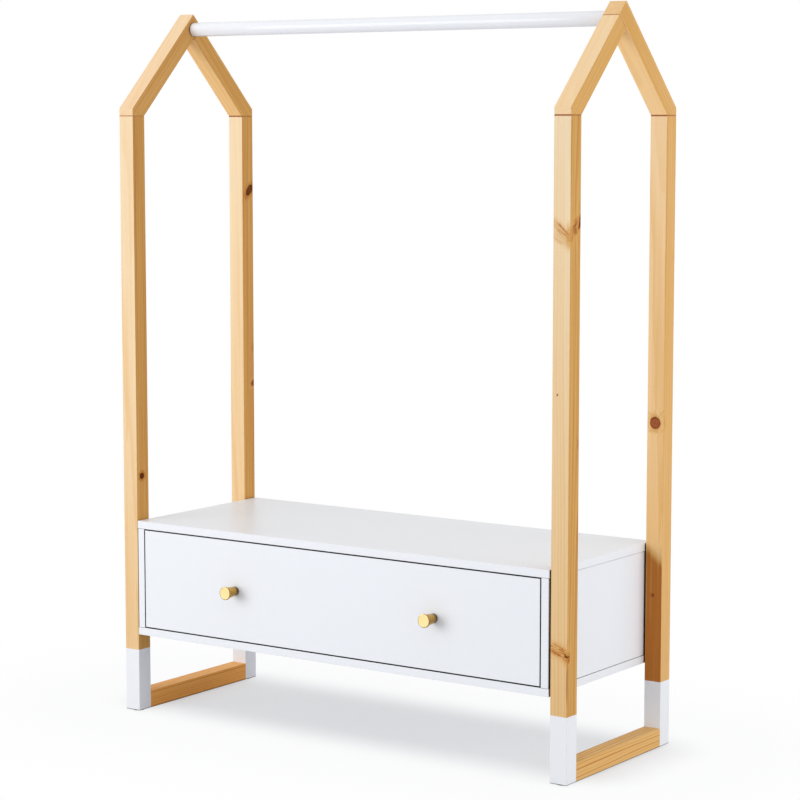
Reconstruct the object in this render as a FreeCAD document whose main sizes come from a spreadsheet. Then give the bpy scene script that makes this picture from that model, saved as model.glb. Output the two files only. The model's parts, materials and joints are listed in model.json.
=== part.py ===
"""A child's clothing rack: two house-shaped side frames, a hanging rail and a drawer box.

Millimetres. +X runs along the rail, +Y to the back, +Z up. The origin lies on the floor, midway between
the four feet. The right side frame is the left one turned half round about +Z.
"""
import FreeCAD
import Part
import Sketcher
import os
import re

# Driving sizes: name, value, meaning
SIZES = (
    ("overall_width", 890, "over the outer faces of the side frames"),
    ("overall_depth", 325, "over the posts, front to back"),
    ("overall_height", 1200, "floor to ridge"),
    ("stick_section", 30, "square section of posts, rafters and floor rails"),
    ("stick_ease", 0.8, "rounding of the stick edges"),
    ("glide_diameter", 20, "foot glide"),
    ("glide_thickness", 2, "foot glide"),
    ("fit_clearance", 0.1, "radial room round dowels, screws, bolts, inserts and locks"),
    ("end_clearance", 0.5, "room at the blind end of a hole or groove"),
    ("dowel_diameter", 8, "frame and box dowels"),
    ("dowel_length", 40, "frame dowels"),
    ("dowel_bite", 18, "frame dowel inside the rafter or the post it enters sideways"),
    ("dowel_pitch", 14, "between the two dowels of one frame joint"),
    ("ridge_dowel_shift", 6, "ridge dowel outward from the middle of the stick"),
    ("rail_diameter", 24, "hanging rail"),
    ("rail_drop", 26.5, "ridge down to the rail axis"),
    ("rail_chamfer", 1, "bevel at the rail ends"),
    ("rail_screw_diameter", 6, "double-ended screw in each rail end"),
    ("rail_screw_length", 40, "double-ended screw in each rail end"),
    ("rail_screw_wall", 3, "wood left between rail screw and ridge dowel"),
    ("box_bottom", 137, "floor to the underside of the box"),
    ("box_height", 198, "bottom panel underside to top panel upper side"),
    ("box_front_proud", 2, "box front before the post fronts"),
    ("box_rear_recess", 1, "box rear inside the post rears"),
    ("board", 13, "thickness of the box panels and the drawer front"),
    ("board_ease", 0.6, "rounding of the panel edges"),
    ("panel_gap", 2, "top and bottom panel ends to the posts"),
    ("side_inset", 1, "side panels inside the ends of the top panel"),
    ("back_thickness", 3, "back panel"),
    ("back_setback", 8, "back panel before the box rear"),
    ("groove_depth", 5, "grooves for the back panel and the drawer bottom"),
    ("groove_clearance", 0.1, "room on each side of a panel in its groove"),
    ("cam_diameter", 15, "cam lock"),
    ("cam_web", 2.5, "board left behind a cam lock"),
    ("cam_reach", 24, "side panel edge to the cam lock axis"),
    ("cam_setback", 62, "cam locks from the front and rear of the box"),
    ("cam_bolt_diameter", 6, "bolt that a cam lock draws in"),
    ("cam_bolt_bite", 8, "cam bolt inside the top or bottom panel"),
    ("box_dowel_setback", 104, "box dowels from the front and rear of the box"),
    ("box_dowel_length", 28, "box dowels"),
    ("box_dowel_bite", 9, "box dowel inside the top or bottom panel"),
    ("bolt_diameter", 6, "bolts from the box into the posts"),
    ("bolt_head_diameter", 11, "frame bolt head"),
    ("bolt_head_height", 3.5, "frame bolt head"),
    ("bolt_bite", 13, "frame bolt inside the post"),
    ("bolt_setback", 18.5, "frame bolts from the outer post faces"),
    ("bolt_low", 70, "lower frame bolts above the box underside"),
    ("bolt_high", 38, "upper frame bolts below the box top"),
    ("insert_diameter", 9, "threaded insert in a post"),
    ("insert_length", 15, "threaded insert in a post"),
    ("spacer_diameter", 16, "ring between box and post"),
    ("reveal", 2.2, "gap round the drawer front"),
    ("drawer_board", 12, "drawer sides and back"),
    ("drawer_rear_gap", 32, "drawer sides to the back panel"),
    ("drawer_lift", 15, "drawer sides above the bottom panel"),
    ("drawer_headroom", 37, "drawer sides below the top panel"),
    ("drawer_bottom_thickness", 4, "drawer bottom"),
    ("groove_lift", 10, "drawer bottom groove above the lower edge of the drawer sides"),
    ("drawer_dowel_diameter", 6, "drawer dowels"),
    ("drawer_dowel_length", 24, "drawer dowels"),
    ("drawer_dowel_bite", 8, "drawer dowel inside the front or the side it enters squarely"),
    ("drawer_dowel_margin", 30, "drawer dowels from the upper and lower edge of the sides"),
    ("runner_space", 13, "room for the runners on each side of the drawer"),
    ("runner_gauge", 1.2, "runner sheet"),
    ("runner_shortfall", 20, "runners shorter than the drawer sides"),
    ("runner_front_gap", 2.5, "cabinet runners behind the drawer front"),
    ("runner_web_gap", 1.3, "edge of a runner flange to the other runner"),
    ("runner_stop_gap", 0.3, "drawer runner to the stop at the rear of the cabinet runner"),
    ("lip_gap", 1.5, "drawer runner flange below the cabinet runner lip"),
    ("under_flange_margin", 2, "drawer runner under-flange short of the inner drawer side face"),
    ("roller_diameter", 14, "runner rollers"),
    ("roller_gap", 0.3, "roller to the flange it carries or runs on"),
    ("roller_float", 0.5, "height between the two sets of rollers"),
    ("roller_side_gap", 0.5, "roller to the runner web and to its pin head"),
    ("roller_head_gap", 2.4, "pin head to the other runner"),
    ("roller_ease", 0.6, "bevel of the roller edges"),
    ("roller_setback", 10, "roller axis from the runner end"),
    ("pin_diameter", 4, "roller pins"),
    ("pin_clearance", 0.05, "radial running room of a roller on its pin"),
    ("pin_head_diameter", 7, "roller pin head"),
    ("pin_head_height", 0.8, "roller pin head"),
    ("runner_screw_diameter", 3.5, "runner screws"),
    ("runner_screw_web", 2, "board left behind a cabinet runner screw"),
    ("runner_screw_head_diameter", 7, "runner screw head"),
    ("runner_screw_head_height", 1.4, "runner screw head"),
    ("runner_screw_setback", 30, "runner screws from the runner ends"),
    ("drawer_screw_length", 14, "drawer runner screws inside the drawer sides"),
    ("drawer_screw_setback", 50, "drawer runner screws from the runner ends"),
    ("knob_spacing", 400, "between the knob axes"),
    ("knob_disc_diameter", 22, "front disc of a knob"),
    ("knob_disc_thickness", 3.5, "front disc of a knob"),
    ("knob_neck_diameter", 19, "knob neck behind the disc"),
    ("knob_base_diameter", 15.5, "knob neck at the drawer front"),
    ("knob_projection", 28, "knob before the drawer front"),
    ("knob_bevel", 0.6, "bevel of the knob edges"),
    ("knob_screw_diameter", 4, "knob screw"),
    ("knob_screw_bite", 10, "knob screw inside the knob"),
    ("knob_screw_head_diameter", 8, "knob screw head"),
    ("knob_screw_head_height", 2.5, "knob screw head"),
)

# Places and sizes that follow from the driving sizes
DERIVED = {
    "half_depth": "overall_depth / 2",
    "frame_middle": "(overall_width - stick_section) / 2",
    "frame_inner": "overall_width / 2 - stick_section",
    "plumb_cut": "stick_section * (sqrt(2) - 1)",
    "eaves_drop": "half_depth + plumb_cut",
    "eaves_height": "overall_height - eaves_drop",
    "post_length": "eaves_height - glide_thickness",
    "post_y": "half_depth - stick_section / 2",
    "lap": "stick_section / sqrt(2)",
    "rail_height": "overall_height - rail_drop",
    "rail_screw_bite": "stick_section / 2 + ridge_dowel_shift - dowel_diameter / 2 - rail_screw_wall",
    "rail_screw_rail_bite": "rail_screw_length - rail_screw_bite",
    "dowel_hole": "dowel_diameter + 2 * fit_clearance",
    "dowel_rest": "dowel_length - dowel_bite",
    "box_front": "0 - half_depth - box_front_proud",
    "box_rear": "half_depth - box_rear_recess",
    "box_top": "box_bottom + box_height",
    "bay_bottom": "box_bottom + board",
    "bay_top": "box_top - board",
    "bay_height": "bay_top - bay_bottom",
    "panel_half": "frame_inner - panel_gap",
    "side_outer": "panel_half - side_inset",
    "side_inner": "side_outer - board",
    "spacer_thickness": "frame_inner - side_outer",
    "back_front": "box_rear - back_setback - back_thickness",
    "groove_reach": "groove_depth - end_clearance",
    "cam_front": "box_front + cam_setback",
    "cam_rear": "box_rear - cam_setback",
    "cam_height": "board - cam_web - end_clearance",
    "box_dowel_front": "box_front + box_dowel_setback",
    "box_dowel_rear": "box_rear - box_dowel_setback",
    "box_dowel_rest": "box_dowel_length - box_dowel_bite",
    "bolt_y": "half_depth - bolt_setback",
    "bolt_low_z": "box_bottom + bolt_low",
    "bolt_high_z": "box_top - bolt_high",
    "bolt_hole": "bolt_diameter + 2 * fit_clearance",
    "front_back": "box_front + board",
    "front_half": "side_inner - reveal",
    "front_height": "bay_height - 2 * reveal",
    "front_middle": "(bay_bottom + bay_top) / 2",
    "drawer_z": "bay_bottom + drawer_lift",
    "drawer_depth": "back_front - front_back - drawer_rear_gap",
    "drawer_side_height": "bay_height - drawer_lift - drawer_headroom",
    "drawer_outer": "side_inner - runner_space",
    "drawer_inner": "drawer_outer - drawer_board",
    "drawer_dowel_hole": "drawer_dowel_diameter + 2 * fit_clearance",
    "drawer_dowel_rest": "drawer_dowel_length - drawer_dowel_bite",
    "drawer_dowel_top": "drawer_side_height - drawer_dowel_margin",
    "drawer_groove": "drawer_bottom_thickness + 2 * groove_clearance",
    "runner_length": "drawer_depth - runner_shortfall",
    "runner_front": "front_back + runner_front_gap",
    "runner_reach": "runner_space - runner_gauge - runner_web_gap",
    "drawer_runner_front": "runner_front - runner_gauge - runner_stop_gap",
    "flange_height": "roller_diameter + 2 * roller_gap + roller_float",
    "lip_height": "flange_height + runner_gauge + lip_gap",
    "under_flange": "drawer_board - under_flange_margin",
    "roller_room": "runner_space - 2 * runner_gauge - roller_head_gap",
    "roller_width": "roller_room - 2 * roller_side_gap - pin_head_height",
    "roller_bore": "pin_diameter + 2 * pin_clearance",
    "pin_hole": "pin_diameter + 2 * fit_clearance",
    "pin_length": "runner_gauge + 2 * roller_side_gap + roller_width",
    "cabinet_roller_y": "runner_front + roller_setback",
    "cabinet_roller_z": "flange_height - roller_gap - roller_diameter / 2",
    "drawer_roller_y": "runner_length - roller_setback",
    "drawer_roller_z": "roller_gap + roller_diameter / 2",
    "runner_screw_z": "lip_height / 2",
    "runner_screw_bite": "board - runner_screw_web",
    "runner_screw_hole": "runner_screw_diameter + 2 * fit_clearance",
    "knob_screw_hole": "knob_screw_diameter + 2 * fit_clearance",
}

NAMES = re.compile(r"[a-z][a-z_]+")
TURN_X = FreeCAD.Vector(1, 0, 0)
TURN_Y = FreeCAD.Vector(0, 1, 0)
TURN_Z = FreeCAD.Vector(0, 0, 1)
HALF_ROUND = FreeCAD.Rotation(TURN_Z, 180)
ROOF_TILT = FreeCAD.Rotation(TURN_X, 45)
# Turns that bring local +Z to each direction
ALONG = {
    "+x": FreeCAD.Rotation(TURN_Y, 90),
    "-x": FreeCAD.Rotation(TURN_Y, -90),
    "+y": FreeCAD.Rotation(TURN_X, -90),
    "-y": FreeCAD.Rotation(TURN_X, 90),
    "+z": FreeCAD.Rotation(),
    "-z": FreeCAD.Rotation(TURN_X, 180),
    "roof": ROOF_TILT,
}
SIDES = (("left", -1), ("right", 1))
ENDS = (-1, 1)

doc = FreeCAD.newDocument("clothing_rack")
sheet = doc.addObject("Spreadsheet::Sheet", "Sizes")
for row, (alias, number, meaning) in enumerate(SIZES, 1):
    sheet.set(f"A{row}", meaning)
    sheet.set(f"B{row}", str(number))
    sheet.setAlias(f"B{row}", alias)
doc.recompute()
ALIASES = {alias for alias, number, meaning in SIZES}
nodes = []


# Helpers for expressions, placing and features

def bound(text):
    """Turn plain size names into an expression on the sheet."""
    def swap(found):
        name = found.group()
        if name in ALIASES:
            return f"Sizes.{name}"
        if name in DERIVED:
            return f"({bound(DERIVED[name])})"
        return name
    return NAMES.sub(swap, text)


def number_of(text):
    return float(sheet.evalExpression(bound(text)))


def put(piece, place, turn=None):
    if turn:
        piece.Placement = FreeCAD.Placement(FreeCAD.Vector(), turn)
    for axis, text in zip("xyz", place):
        piece.setExpression(f"Placement.Base.{axis}", bound(text))
    return piece


def start_body(label, place, turn=None):
    body = doc.addObject("PartDesign::Body", label)
    body.Label = label
    nodes.append(body)
    return put(body, place, turn)


def add_sketch(body, plane, offset="0"):
    """A sketch on one of the body's own planes, moved to the given coordinate along the plane's axis."""
    support = next(item for item in body.Origin.OriginFeatures if item.Role == f"{plane}_Plane")
    sketch = body.newObject("Sketcher::SketchObject", f"{body.Name}_{plane}")
    sketch.AttachmentSupport = (support, [""])
    sketch.MapMode = "FlatFace"
    sign = "-" if plane == "XZ" else ""
    sketch.setExpression("AttachmentOffset.Base.z", bound(f"{sign}({offset})"))
    return sketch


def tie(sketch, kind, geometry, point, text):
    constraint = Sketcher.Constraint(kind, -1, 1, geometry, point, number_of(text))
    sketch.setExpression(f"Constraints[{sketch.addConstraint(constraint)}]", bound(text))


def outline(sketch, corners):
    """A closed polygon whose corners are tied to the sheet."""
    points = [FreeCAD.Vector(number_of(across), number_of(up), 0) for across, up in corners]
    count = len(points)
    for index in range(count):
        sketch.addGeometry(Part.LineSegment(points[index], points[(index + 1) % count]))
    for index in range(count):
        sketch.addConstraint(Sketcher.Constraint("Coincident", index, 2, (index + 1) % count, 1))
    for index, (across, up) in enumerate(corners):
        tie(sketch, "DistanceX", index, 1, across)
        tie(sketch, "DistanceY", index, 1, up)
    return sketch


def rectangle(sketch, left, right, low, high):
    return outline(sketch, ((left, low), (right, low), (right, high), (left, high)))


def rings(sketch, centres, diameter):
    for across, up in centres:
        centre = FreeCAD.Vector(number_of(across), number_of(up), 0)
        circle = sketch.addGeometry(Part.Circle(centre, TURN_Z, number_of(diameter) / 2))
        tie(sketch, "DistanceX", circle, 3, across)
        tie(sketch, "DistanceY", circle, 3, up)
        width = sketch.addConstraint(Sketcher.Constraint("Diameter", circle, number_of(diameter)))
        sketch.setExpression(f"Constraints[{width}]", bound(diameter))
    return sketch


def pad(body, sketch, length, backward=False, both=False):
    feature = body.newObject("PartDesign::Pad", f"{body.Name}_pad")
    feature.Profile = sketch
    feature.setExpression("Length", bound(length))
    feature.Reversed = backward
    if both:
        feature.SideType = "Symmetric"
    doc.recompute()


def revolve(body, sketch):
    feature = body.newObject("PartDesign::Revolution", f"{body.Name}_turned")
    feature.Profile = sketch
    feature.ReferenceAxis = (sketch, ["V_Axis"])
    doc.recompute()


def pocket(body, sketch, depth, along_normal=False):
    before = body.Shape.Volume
    feature = body.newObject("PartDesign::Pocket", f"{body.Name}_pocket")
    feature.Profile = sketch
    feature.setExpression("Length", bound(depth))
    feature.Reversed = along_normal
    doc.recompute()
    if body.Shape.Volume >= before:
        raise RuntimeError(f"a pocket in {body.Label} cuts nothing")


def round_edges(body, radius):
    solid = body.Tip
    feature = body.newObject("PartDesign::Fillet", f"{body.Name}_eased")
    feature.Base = (solid, [""])
    feature.UseAllEdges = True
    feature.setExpression("Radius", bound(radius))
    doc.recompute()


def rod(diameter, length, place=("0", "0", "0"), along="+z"):
    cylinder = doc.addObject("Part::Cylinder", "rod")
    cylinder.setExpression("Radius", bound(f"({diameter}) / 2"))
    cylinder.setExpression("Height", bound(length))
    return put(cylinder, place, ALONG[along])


def tube(outer, inner, length, place, along):
    ring = doc.addObject("Part::Cut", "tube")
    ring.Base = rod(outer, length)
    ring.Tool = rod(inner, length)
    return put(ring, place, ALONG[along])


def headed(head, head_height, shank, length, place, along):
    """A screw, bolt or pin: the head ends at the place, the shank runs on from there."""
    fastener = doc.addObject("Part::Fuse", "fastener")
    fastener.Base = rod(head, head_height, ("0", "0", f"-({head_height})"))
    fastener.Tool = rod(shank, length)
    return put(fastener, place, ALONG[along])


def group(label, members):
    together = doc.addObject("Part::Compound", label)
    together.Label = label
    together.Links = members
    nodes.append(together)


# Side frames

def make_post(label, place, turn, inward):
    """A post with holes for the eaves dowels, the floor rail dowels and the threaded inserts.

    inward is the direction, along local Y, in which the floor rail leaves the post.
    """
    half = "stick_section / 2"
    body = start_body(label, place, turn)
    pad(body, rectangle(add_sketch(body, "XY"), f"-{half}", half, f"-{half}", half), "post_length")
    round_edges(body, "stick_ease")
    pair = [(f"{end} * dowel_pitch / 2", "0") for end in ENDS]
    top = rings(add_sketch(body, "XY", "post_length"), pair, "dowel_hole")
    pocket(body, top, "dowel_rest + end_clearance")
    pair = [(f"{end} * dowel_pitch / 2", half) for end in ENDS]
    rail_face = add_sketch(body, "XZ", f"{inward} * {half}")
    pocket(body, rings(rail_face, pair, "dowel_hole"), "dowel_bite + end_clearance", inward > 0)
    across = f"{inward} * (bolt_setback - {half})"
    spots = [(across, f"{height} - glide_thickness") for height in ("bolt_low_z", "bolt_high_z")]
    box_face = add_sketch(body, "YZ", half)
    insert_hole = "insert_diameter + 2 * fit_clearance"
    pocket(body, rings(box_face, spots, insert_hole), "insert_length + end_clearance")


def make_through_rafter(label, place, turn):
    """The rafter that runs up to the ridge; it stands on the local -Y side and holds the rail screw."""
    body = start_body(label, place, turn)
    corners = (
        ("-half_depth", "-eaves_drop"),
        ("stick_section - half_depth", "-eaves_drop"),
        ("lap", "-lap"),
        ("0", "0"),
        ("-half_depth", "-half_depth"),
    )
    pad(body, outline(add_sketch(body, "YZ"), corners), "stick_section", both=True)
    round_edges(body, "stick_ease")
    bore_rafter(body, "-post_y", True)
    rail_hole = rings(add_sketch(body, "YZ", "stick_section / 2"), [("0", "-rail_drop")],
                      "rail_screw_diameter + 2 * fit_clearance")
    pocket(body, rail_hole, "rail_screw_bite + end_clearance")


def make_butt_rafter(label, place, turn):
    """The rafter on the local +Y side, whose upper end meets the underside of the other one."""
    body = start_body(label, place, turn)
    corners = (
        ("half_depth", "-eaves_drop"),
        ("half_depth", "-half_depth"),
        ("lap", "-lap"),
        ("0", "-2 * lap"),
        ("half_depth - stick_section", "-eaves_drop"),
    )
    pad(body, outline(add_sketch(body, "YZ"), corners), "stick_section", both=True)
    round_edges(body, "stick_ease")
    bore_rafter(body, "post_y", False)


def bore_rafter(body, foot, upward):
    """Dowel holes at the foot of a rafter and in its face of the ridge joint."""
    pair = [(f"{end} * dowel_pitch / 2", foot) for end in ENDS]
    feet = rings(add_sketch(body, "XY", "-eaves_drop"), pair, "dowel_hole")
    pocket(body, feet, "dowel_bite + end_clearance", True)
    joint = add_sketch(body, "XY", "-1.5 * lap")
    joint.AttachmentOffset = FreeCAD.Placement(FreeCAD.Vector(), ROOF_TILT)
    joint.setExpression("AttachmentOffset.Base.y", bound("lap / 2"))
    rings(joint, [("-ridge_dowel_shift", "0")], "dowel_hole")
    depth = "dowel_bite" if upward else "dowel_rest"
    pocket(body, joint, f"{depth} + end_clearance", upward)


def make_floor_rail(label, place):
    half = "stick_section / 2"
    body = start_body(label, place)
    square = rectangle(add_sketch(body, "XZ"), f"-{half}", half, f"-{half}", half)
    pad(body, square, "overall_depth - 2 * stick_section", both=True)
    round_edges(body, "stick_ease")
    pair = [(f"{end} * dowel_pitch / 2", "0") for end in ENDS]
    for end in ENDS:
        face = add_sketch(body, "XZ", f"{end} * (half_depth - stick_section)")
        pocket(body, rings(face, pair, "dowel_hole"), "dowel_rest + end_clearance", end > 0)


def make_side_frames():
    for side, sign in SIDES:
        turn = HALF_ROUND if sign > 0 else None
        middle = f"{sign} * frame_middle"
        for end, depth_name in ((-1, "front"), (1, "back")):
            place = (middle, f"{end} * post_y", "glide_thickness")
            make_post(f"{side}_{depth_name}_post", place, turn, end * sign)
        through, butt = ("front", "back") if sign < 0 else ("back", "front")
        ridge = (middle, "0", "overall_height")
        make_through_rafter(f"{side}_{through}_rafter", ridge, turn)
        make_butt_rafter(f"{side}_{butt}_rafter", ridge, turn)
        make_floor_rail(f"{side}_floor_rail", (middle, "0", "glide_thickness + stick_section / 2"))


def make_frame_fixings():
    eaves, ridges, floor, glides = [], [], [], []
    for side, sign in SIDES:
        middle = f"{sign} * frame_middle"
        spots = [f"{middle} + {end} * dowel_pitch / 2" for end in ENDS]
        for end in ENDS:
            glides.append(rod("glide_diameter", "glide_thickness", (middle, f"{end} * post_y", "0")))
            along = "+y" if end > 0 else "-y"
            start = f"{end} * (half_depth - stick_section - dowel_rest)"
            for spot in spots:
                low = (spot, f"{end} * post_y", "eaves_height - dowel_rest")
                eaves.append(rod("dowel_diameter", "dowel_length", low))
                inner = (spot, start, "glide_thickness + stick_section / 2")
                floor.append(rod("dowel_diameter", "dowel_length", inner, along))
        ridges.append(make_ridge_dowel(middle, sign))
    group("eaves_dowels", eaves)
    group("ridge_dowels", ridges)
    group("floor_rail_dowels", floor)
    group("foot_glides", glides)


def make_ridge_dowel(middle, sign):
    """The slanting dowel of a ridge joint, from inside the butt rafter up into the through rafter."""
    dowel = rod("dowel_diameter", "dowel_length")
    turn = ROOF_TILT if sign < 0 else HALF_ROUND.multiply(ROOF_TILT)
    run = "dowel_rest / sqrt(2)"
    across = f"{-sign} * (lap / 2 + {run})"
    return put(dowel, (f"{middle} + {sign} * ridge_dowel_shift", across,
                       f"overall_height - 1.5 * lap - {run}"), turn)


# Hanging rail

def make_hanging_rail():
    body = start_body("hanging_rail", ("0", "0", "rail_height"))
    pad(body, rings(add_sketch(body, "YZ"), [("0", "0")], "rail_diameter"), "2 * frame_inner", both=True)
    solid = body.Tip
    bevel = body.newObject("PartDesign::Chamfer", "rail_bevel")
    bevel.Base = (solid, [""])
    bevel.UseAllEdges = True
    bevel.setExpression("Size", bound("rail_chamfer"))
    doc.recompute()
    screws = []
    for end in ENDS:
        face = add_sketch(body, "YZ", f"{end} * frame_inner")
        rings(face, [("0", "0")], "rail_screw_diameter + 2 * fit_clearance")
        pocket(body, face, "rail_screw_rail_bite + end_clearance", end < 0)
        along = "+x" if end > 0 else "-x"
        start = f"{end} * (frame_inner - rail_screw_rail_bite)"
        screws.append(rod("rail_screw_diameter", "rail_screw_length", (start, "0", "rail_height"), along))
    group("rail_screws", screws)


# Drawer box

def edge_spots(sign):
    """Cam bolt and dowel centres on the edge of a side panel, measured from its inner face."""
    across = f"{sign} * board / 2"
    cams = [(across, "cam_front"), (across, "cam_rear")]
    dowels = [(across, "box_dowel_front"), (across, "box_dowel_rear")]
    return cams, dowels


def make_level_panel(label, height, upward):
    """The top or the bottom panel; its local Z is 0 on the face that looks into the bay."""
    body = start_body(label, ("0", "0", height))
    sheet_face = rectangle(add_sketch(body, "XY"), "-panel_half", "panel_half", "box_front", "box_rear")
    pad(body, sheet_face, "board", backward=not upward)
    round_edges(body, "board_ease")
    groove = rectangle(add_sketch(body, "XY"), "-side_inner - groove_depth", "side_inner + groove_depth",
                       "back_front - groove_clearance", "back_front + back_thickness + groove_clearance")
    pocket(body, groove, "groove_depth", upward)
    cams, dowels = [], []
    for side, sign in SIDES:
        for spots, chosen in zip((cams, dowels), edge_spots(sign)):
            spots.extend((f"{sign} * side_inner + {across}", along) for across, along in chosen)
    bolt_holes = rings(add_sketch(body, "XY"), cams, "cam_bolt_diameter + 2 * fit_clearance")
    pocket(body, bolt_holes, "cam_bolt_bite + end_clearance", upward)
    dowel_holes = rings(add_sketch(body, "XY"), dowels, "dowel_hole")
    pocket(body, dowel_holes, "box_dowel_bite + end_clearance", upward)


def make_side_panel(side, sign):
    """A side panel; its local X is 0 on the inner face and its local Z is 0 on the lower edge."""
    outward = sign > 0
    body = start_body(f"{side}_side_panel", (f"{sign} * side_inner", "0", "bay_bottom"))
    edge = rectangle(add_sketch(body, "XY"), "0", f"{sign} * board", "box_front", "box_rear")
    pad(body, edge, "bay_height")
    round_edges(body, "board_ease")
    groove = rectangle(add_sketch(body, "YZ"), "back_front - groove_clearance",
                       "back_front + back_thickness + groove_clearance", "0", "bay_height")
    pocket(body, groove, "groove_depth", outward)
    levels = ("cam_reach", "bay_height - cam_reach")
    barrels = [(along, up) for along in ("cam_front", "cam_rear") for up in levels]
    barrel_holes = rings(add_sketch(body, "YZ"), barrels, "cam_diameter + 2 * fit_clearance")
    pocket(body, barrel_holes, "board - cam_web", outward)
    cams, dowels = edge_spots(sign)
    for level, upward in (("0", True), ("bay_height", False)):
        bolt_holes = rings(add_sketch(body, "XY", level), cams, "cam_bolt_diameter + 2 * fit_clearance")
        pocket(body, bolt_holes, "cam_reach", upward)
        dowel_holes = rings(add_sketch(body, "XY", level), dowels, "dowel_hole")
        pocket(body, dowel_holes, "box_dowel_rest + end_clearance", upward)
    levels = ("bolt_low_z - bay_bottom", "bolt_high_z - bay_bottom")
    bolts = [(f"{end} * bolt_y", up) for end in ENDS for up in levels]
    pocket(body, rings(add_sketch(body, "YZ"), bolts, "bolt_hole"), "board", outward)
    pilots = [(f"runner_front + {along}", "drawer_lift + runner_screw_z") for along in runner_screw_spots()]
    pilot_holes = rings(add_sketch(body, "YZ"), pilots, "runner_screw_hole")
    pocket(body, pilot_holes, "runner_screw_bite - runner_gauge + end_clearance", outward)


def make_back_panel():
    body = start_body("back_panel", ("0", "back_front", "front_middle"))
    across = "side_inner + groove_reach"
    up = "bay_height / 2 + groove_reach"
    face = rectangle(add_sketch(body, "XZ"), f"-({across})", across, f"-({up})", up)
    pad(body, face, "back_thickness", backward=True)


def make_box_fixings():
    locks, bolts, dowels = [], [], []
    bolt_length = "cam_bolt_bite + cam_reach"
    for side, sign in SIDES:
        along = "+x" if sign > 0 else "-x"
        for upward, level in ((1, "bay_bottom"), (-1, "bay_top")):
            climb = "+z" if upward > 0 else "-z"
            axis = f"{level} + {upward} * cam_reach"
            cams, pegs = edge_spots(sign)
            for across, depth in cams:
                spot = f"{sign} * side_inner + {across}"
                root = (spot, depth, f"{level} - {upward} * cam_bolt_bite")
                bolts.append(rod("cam_bolt_diameter", bolt_length, root, climb))
                barrel = rod("cam_diameter", "cam_height", (f"{sign} * side_inner", depth, axis), along)
                bore = rod("cam_bolt_diameter + 2 * fit_clearance", "cam_reach + end_clearance",
                           (spot, depth, level), climb)
                lock = doc.addObject("Part::Cut", "cam_lock")
                lock.Base = barrel
                lock.Tool = bore
                locks.append(lock)
            for across, depth in pegs:
                root = (f"{sign} * side_inner + {across}", depth, f"{level} - {upward} * box_dowel_bite")
                dowels.append(rod("dowel_diameter", "box_dowel_length", root, climb))
    group("cam_locks", locks)
    group("cam_bolts", bolts)
    group("box_dowels", dowels)


def make_frame_bolts():
    """Bolts from inside the box through the side panels and spacer rings into inserts in the posts."""
    bolts, inserts, spacers = [], [], []
    for side, sign in SIDES:
        along = "+x" if sign > 0 else "-x"
        for end in ENDS:
            for height in ("bolt_low_z", "bolt_high_z"):
                across = f"{end} * bolt_y"
                bolts.append(headed("bolt_head_diameter", "bolt_head_height", "bolt_diameter",
                                    "board + spacer_thickness + bolt_bite",
                                    (f"{sign} * side_inner", across, height), along))
                inserts.append(tube("insert_diameter", "bolt_hole", "insert_length",
                                    (f"{sign} * frame_inner", across, height), along))
                spacers.append(tube("spacer_diameter", "bolt_hole", "spacer_thickness",
                                    (f"{sign} * side_outer", across, height), along))
    group("frame_bolts", bolts)
    group("threaded_inserts", inserts)
    group("spacer_rings", spacers)


# Roller runners

def runner_screw_spots():
    return ("runner_screw_setback", "runner_length - runner_screw_setback")


def drawer_screw_spots():
    return ("drawer_screw_setback", "runner_length - drawer_screw_setback")


def make_cabinet_runner(side, sign):
    """A channel on the side panel, open to the drawer, with a stop across its rear end."""
    outward = sign > 0
    reach = f"{-sign} * runner_reach"
    web = f"{-sign} * runner_gauge"
    body = start_body(f"{side}_cabinet_runner", (f"{sign} * side_inner", "runner_front", "drawer_z"))
    channel = (
        ("0", "-runner_gauge"),
        (reach, "-runner_gauge"),
        (reach, "0"),
        (web, "0"),
        (web, "lip_height"),
        (reach, "lip_height"),
        (reach, "lip_height + runner_gauge"),
        ("0", "lip_height + runner_gauge"),
    )
    pad(body, outline(add_sketch(body, "XZ"), channel), "runner_length", backward=True)
    stop = rectangle(add_sketch(body, "XZ", "runner_length"), "0", reach,
                     "-runner_gauge", "lip_height + runner_gauge")
    pad(body, stop, "runner_gauge")
    pin = rings(add_sketch(body, "YZ"), [("roller_setback", "cabinet_roller_z")], "pin_hole")
    pocket(body, pin, "runner_gauge", not outward)
    screws = [(along, "runner_screw_z") for along in runner_screw_spots()]
    pocket(body, rings(add_sketch(body, "YZ"), screws, "runner_screw_hole"), "runner_gauge", not outward)


def make_drawer_runner(side, sign):
    """An angle under the drawer side with an outer flange that rides on the cabinet roller."""
    outward = sign > 0
    web = f"{sign} * runner_gauge"
    reach = f"{sign} * runner_reach"
    inner = f"{-sign} * under_flange"
    body = start_body(f"{side}_drawer_runner", (f"{sign} * drawer_outer", "drawer_runner_front", "drawer_z"))
    angle = (
        (inner, "-runner_gauge"),
        (web, "-runner_gauge"),
        (web, "flange_height"),
        (reach, "flange_height"),
        (reach, "flange_height + runner_gauge"),
        ("0", "flange_height + runner_gauge"),
        ("0", "0"),
        (inner, "0"),
    )
    pad(body, outline(add_sketch(body, "XZ"), angle), "runner_length", backward=True)
    pin = rings(add_sketch(body, "YZ"), [("drawer_roller_y", "drawer_roller_z")], "pin_hole")
    pocket(body, pin, "runner_gauge", outward)
    screws = [(f"{inner} / 2", along) for along in drawer_screw_spots()]
    pocket(body, rings(add_sketch(body, "XY"), screws, "runner_screw_hole"), "runner_gauge")


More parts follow.
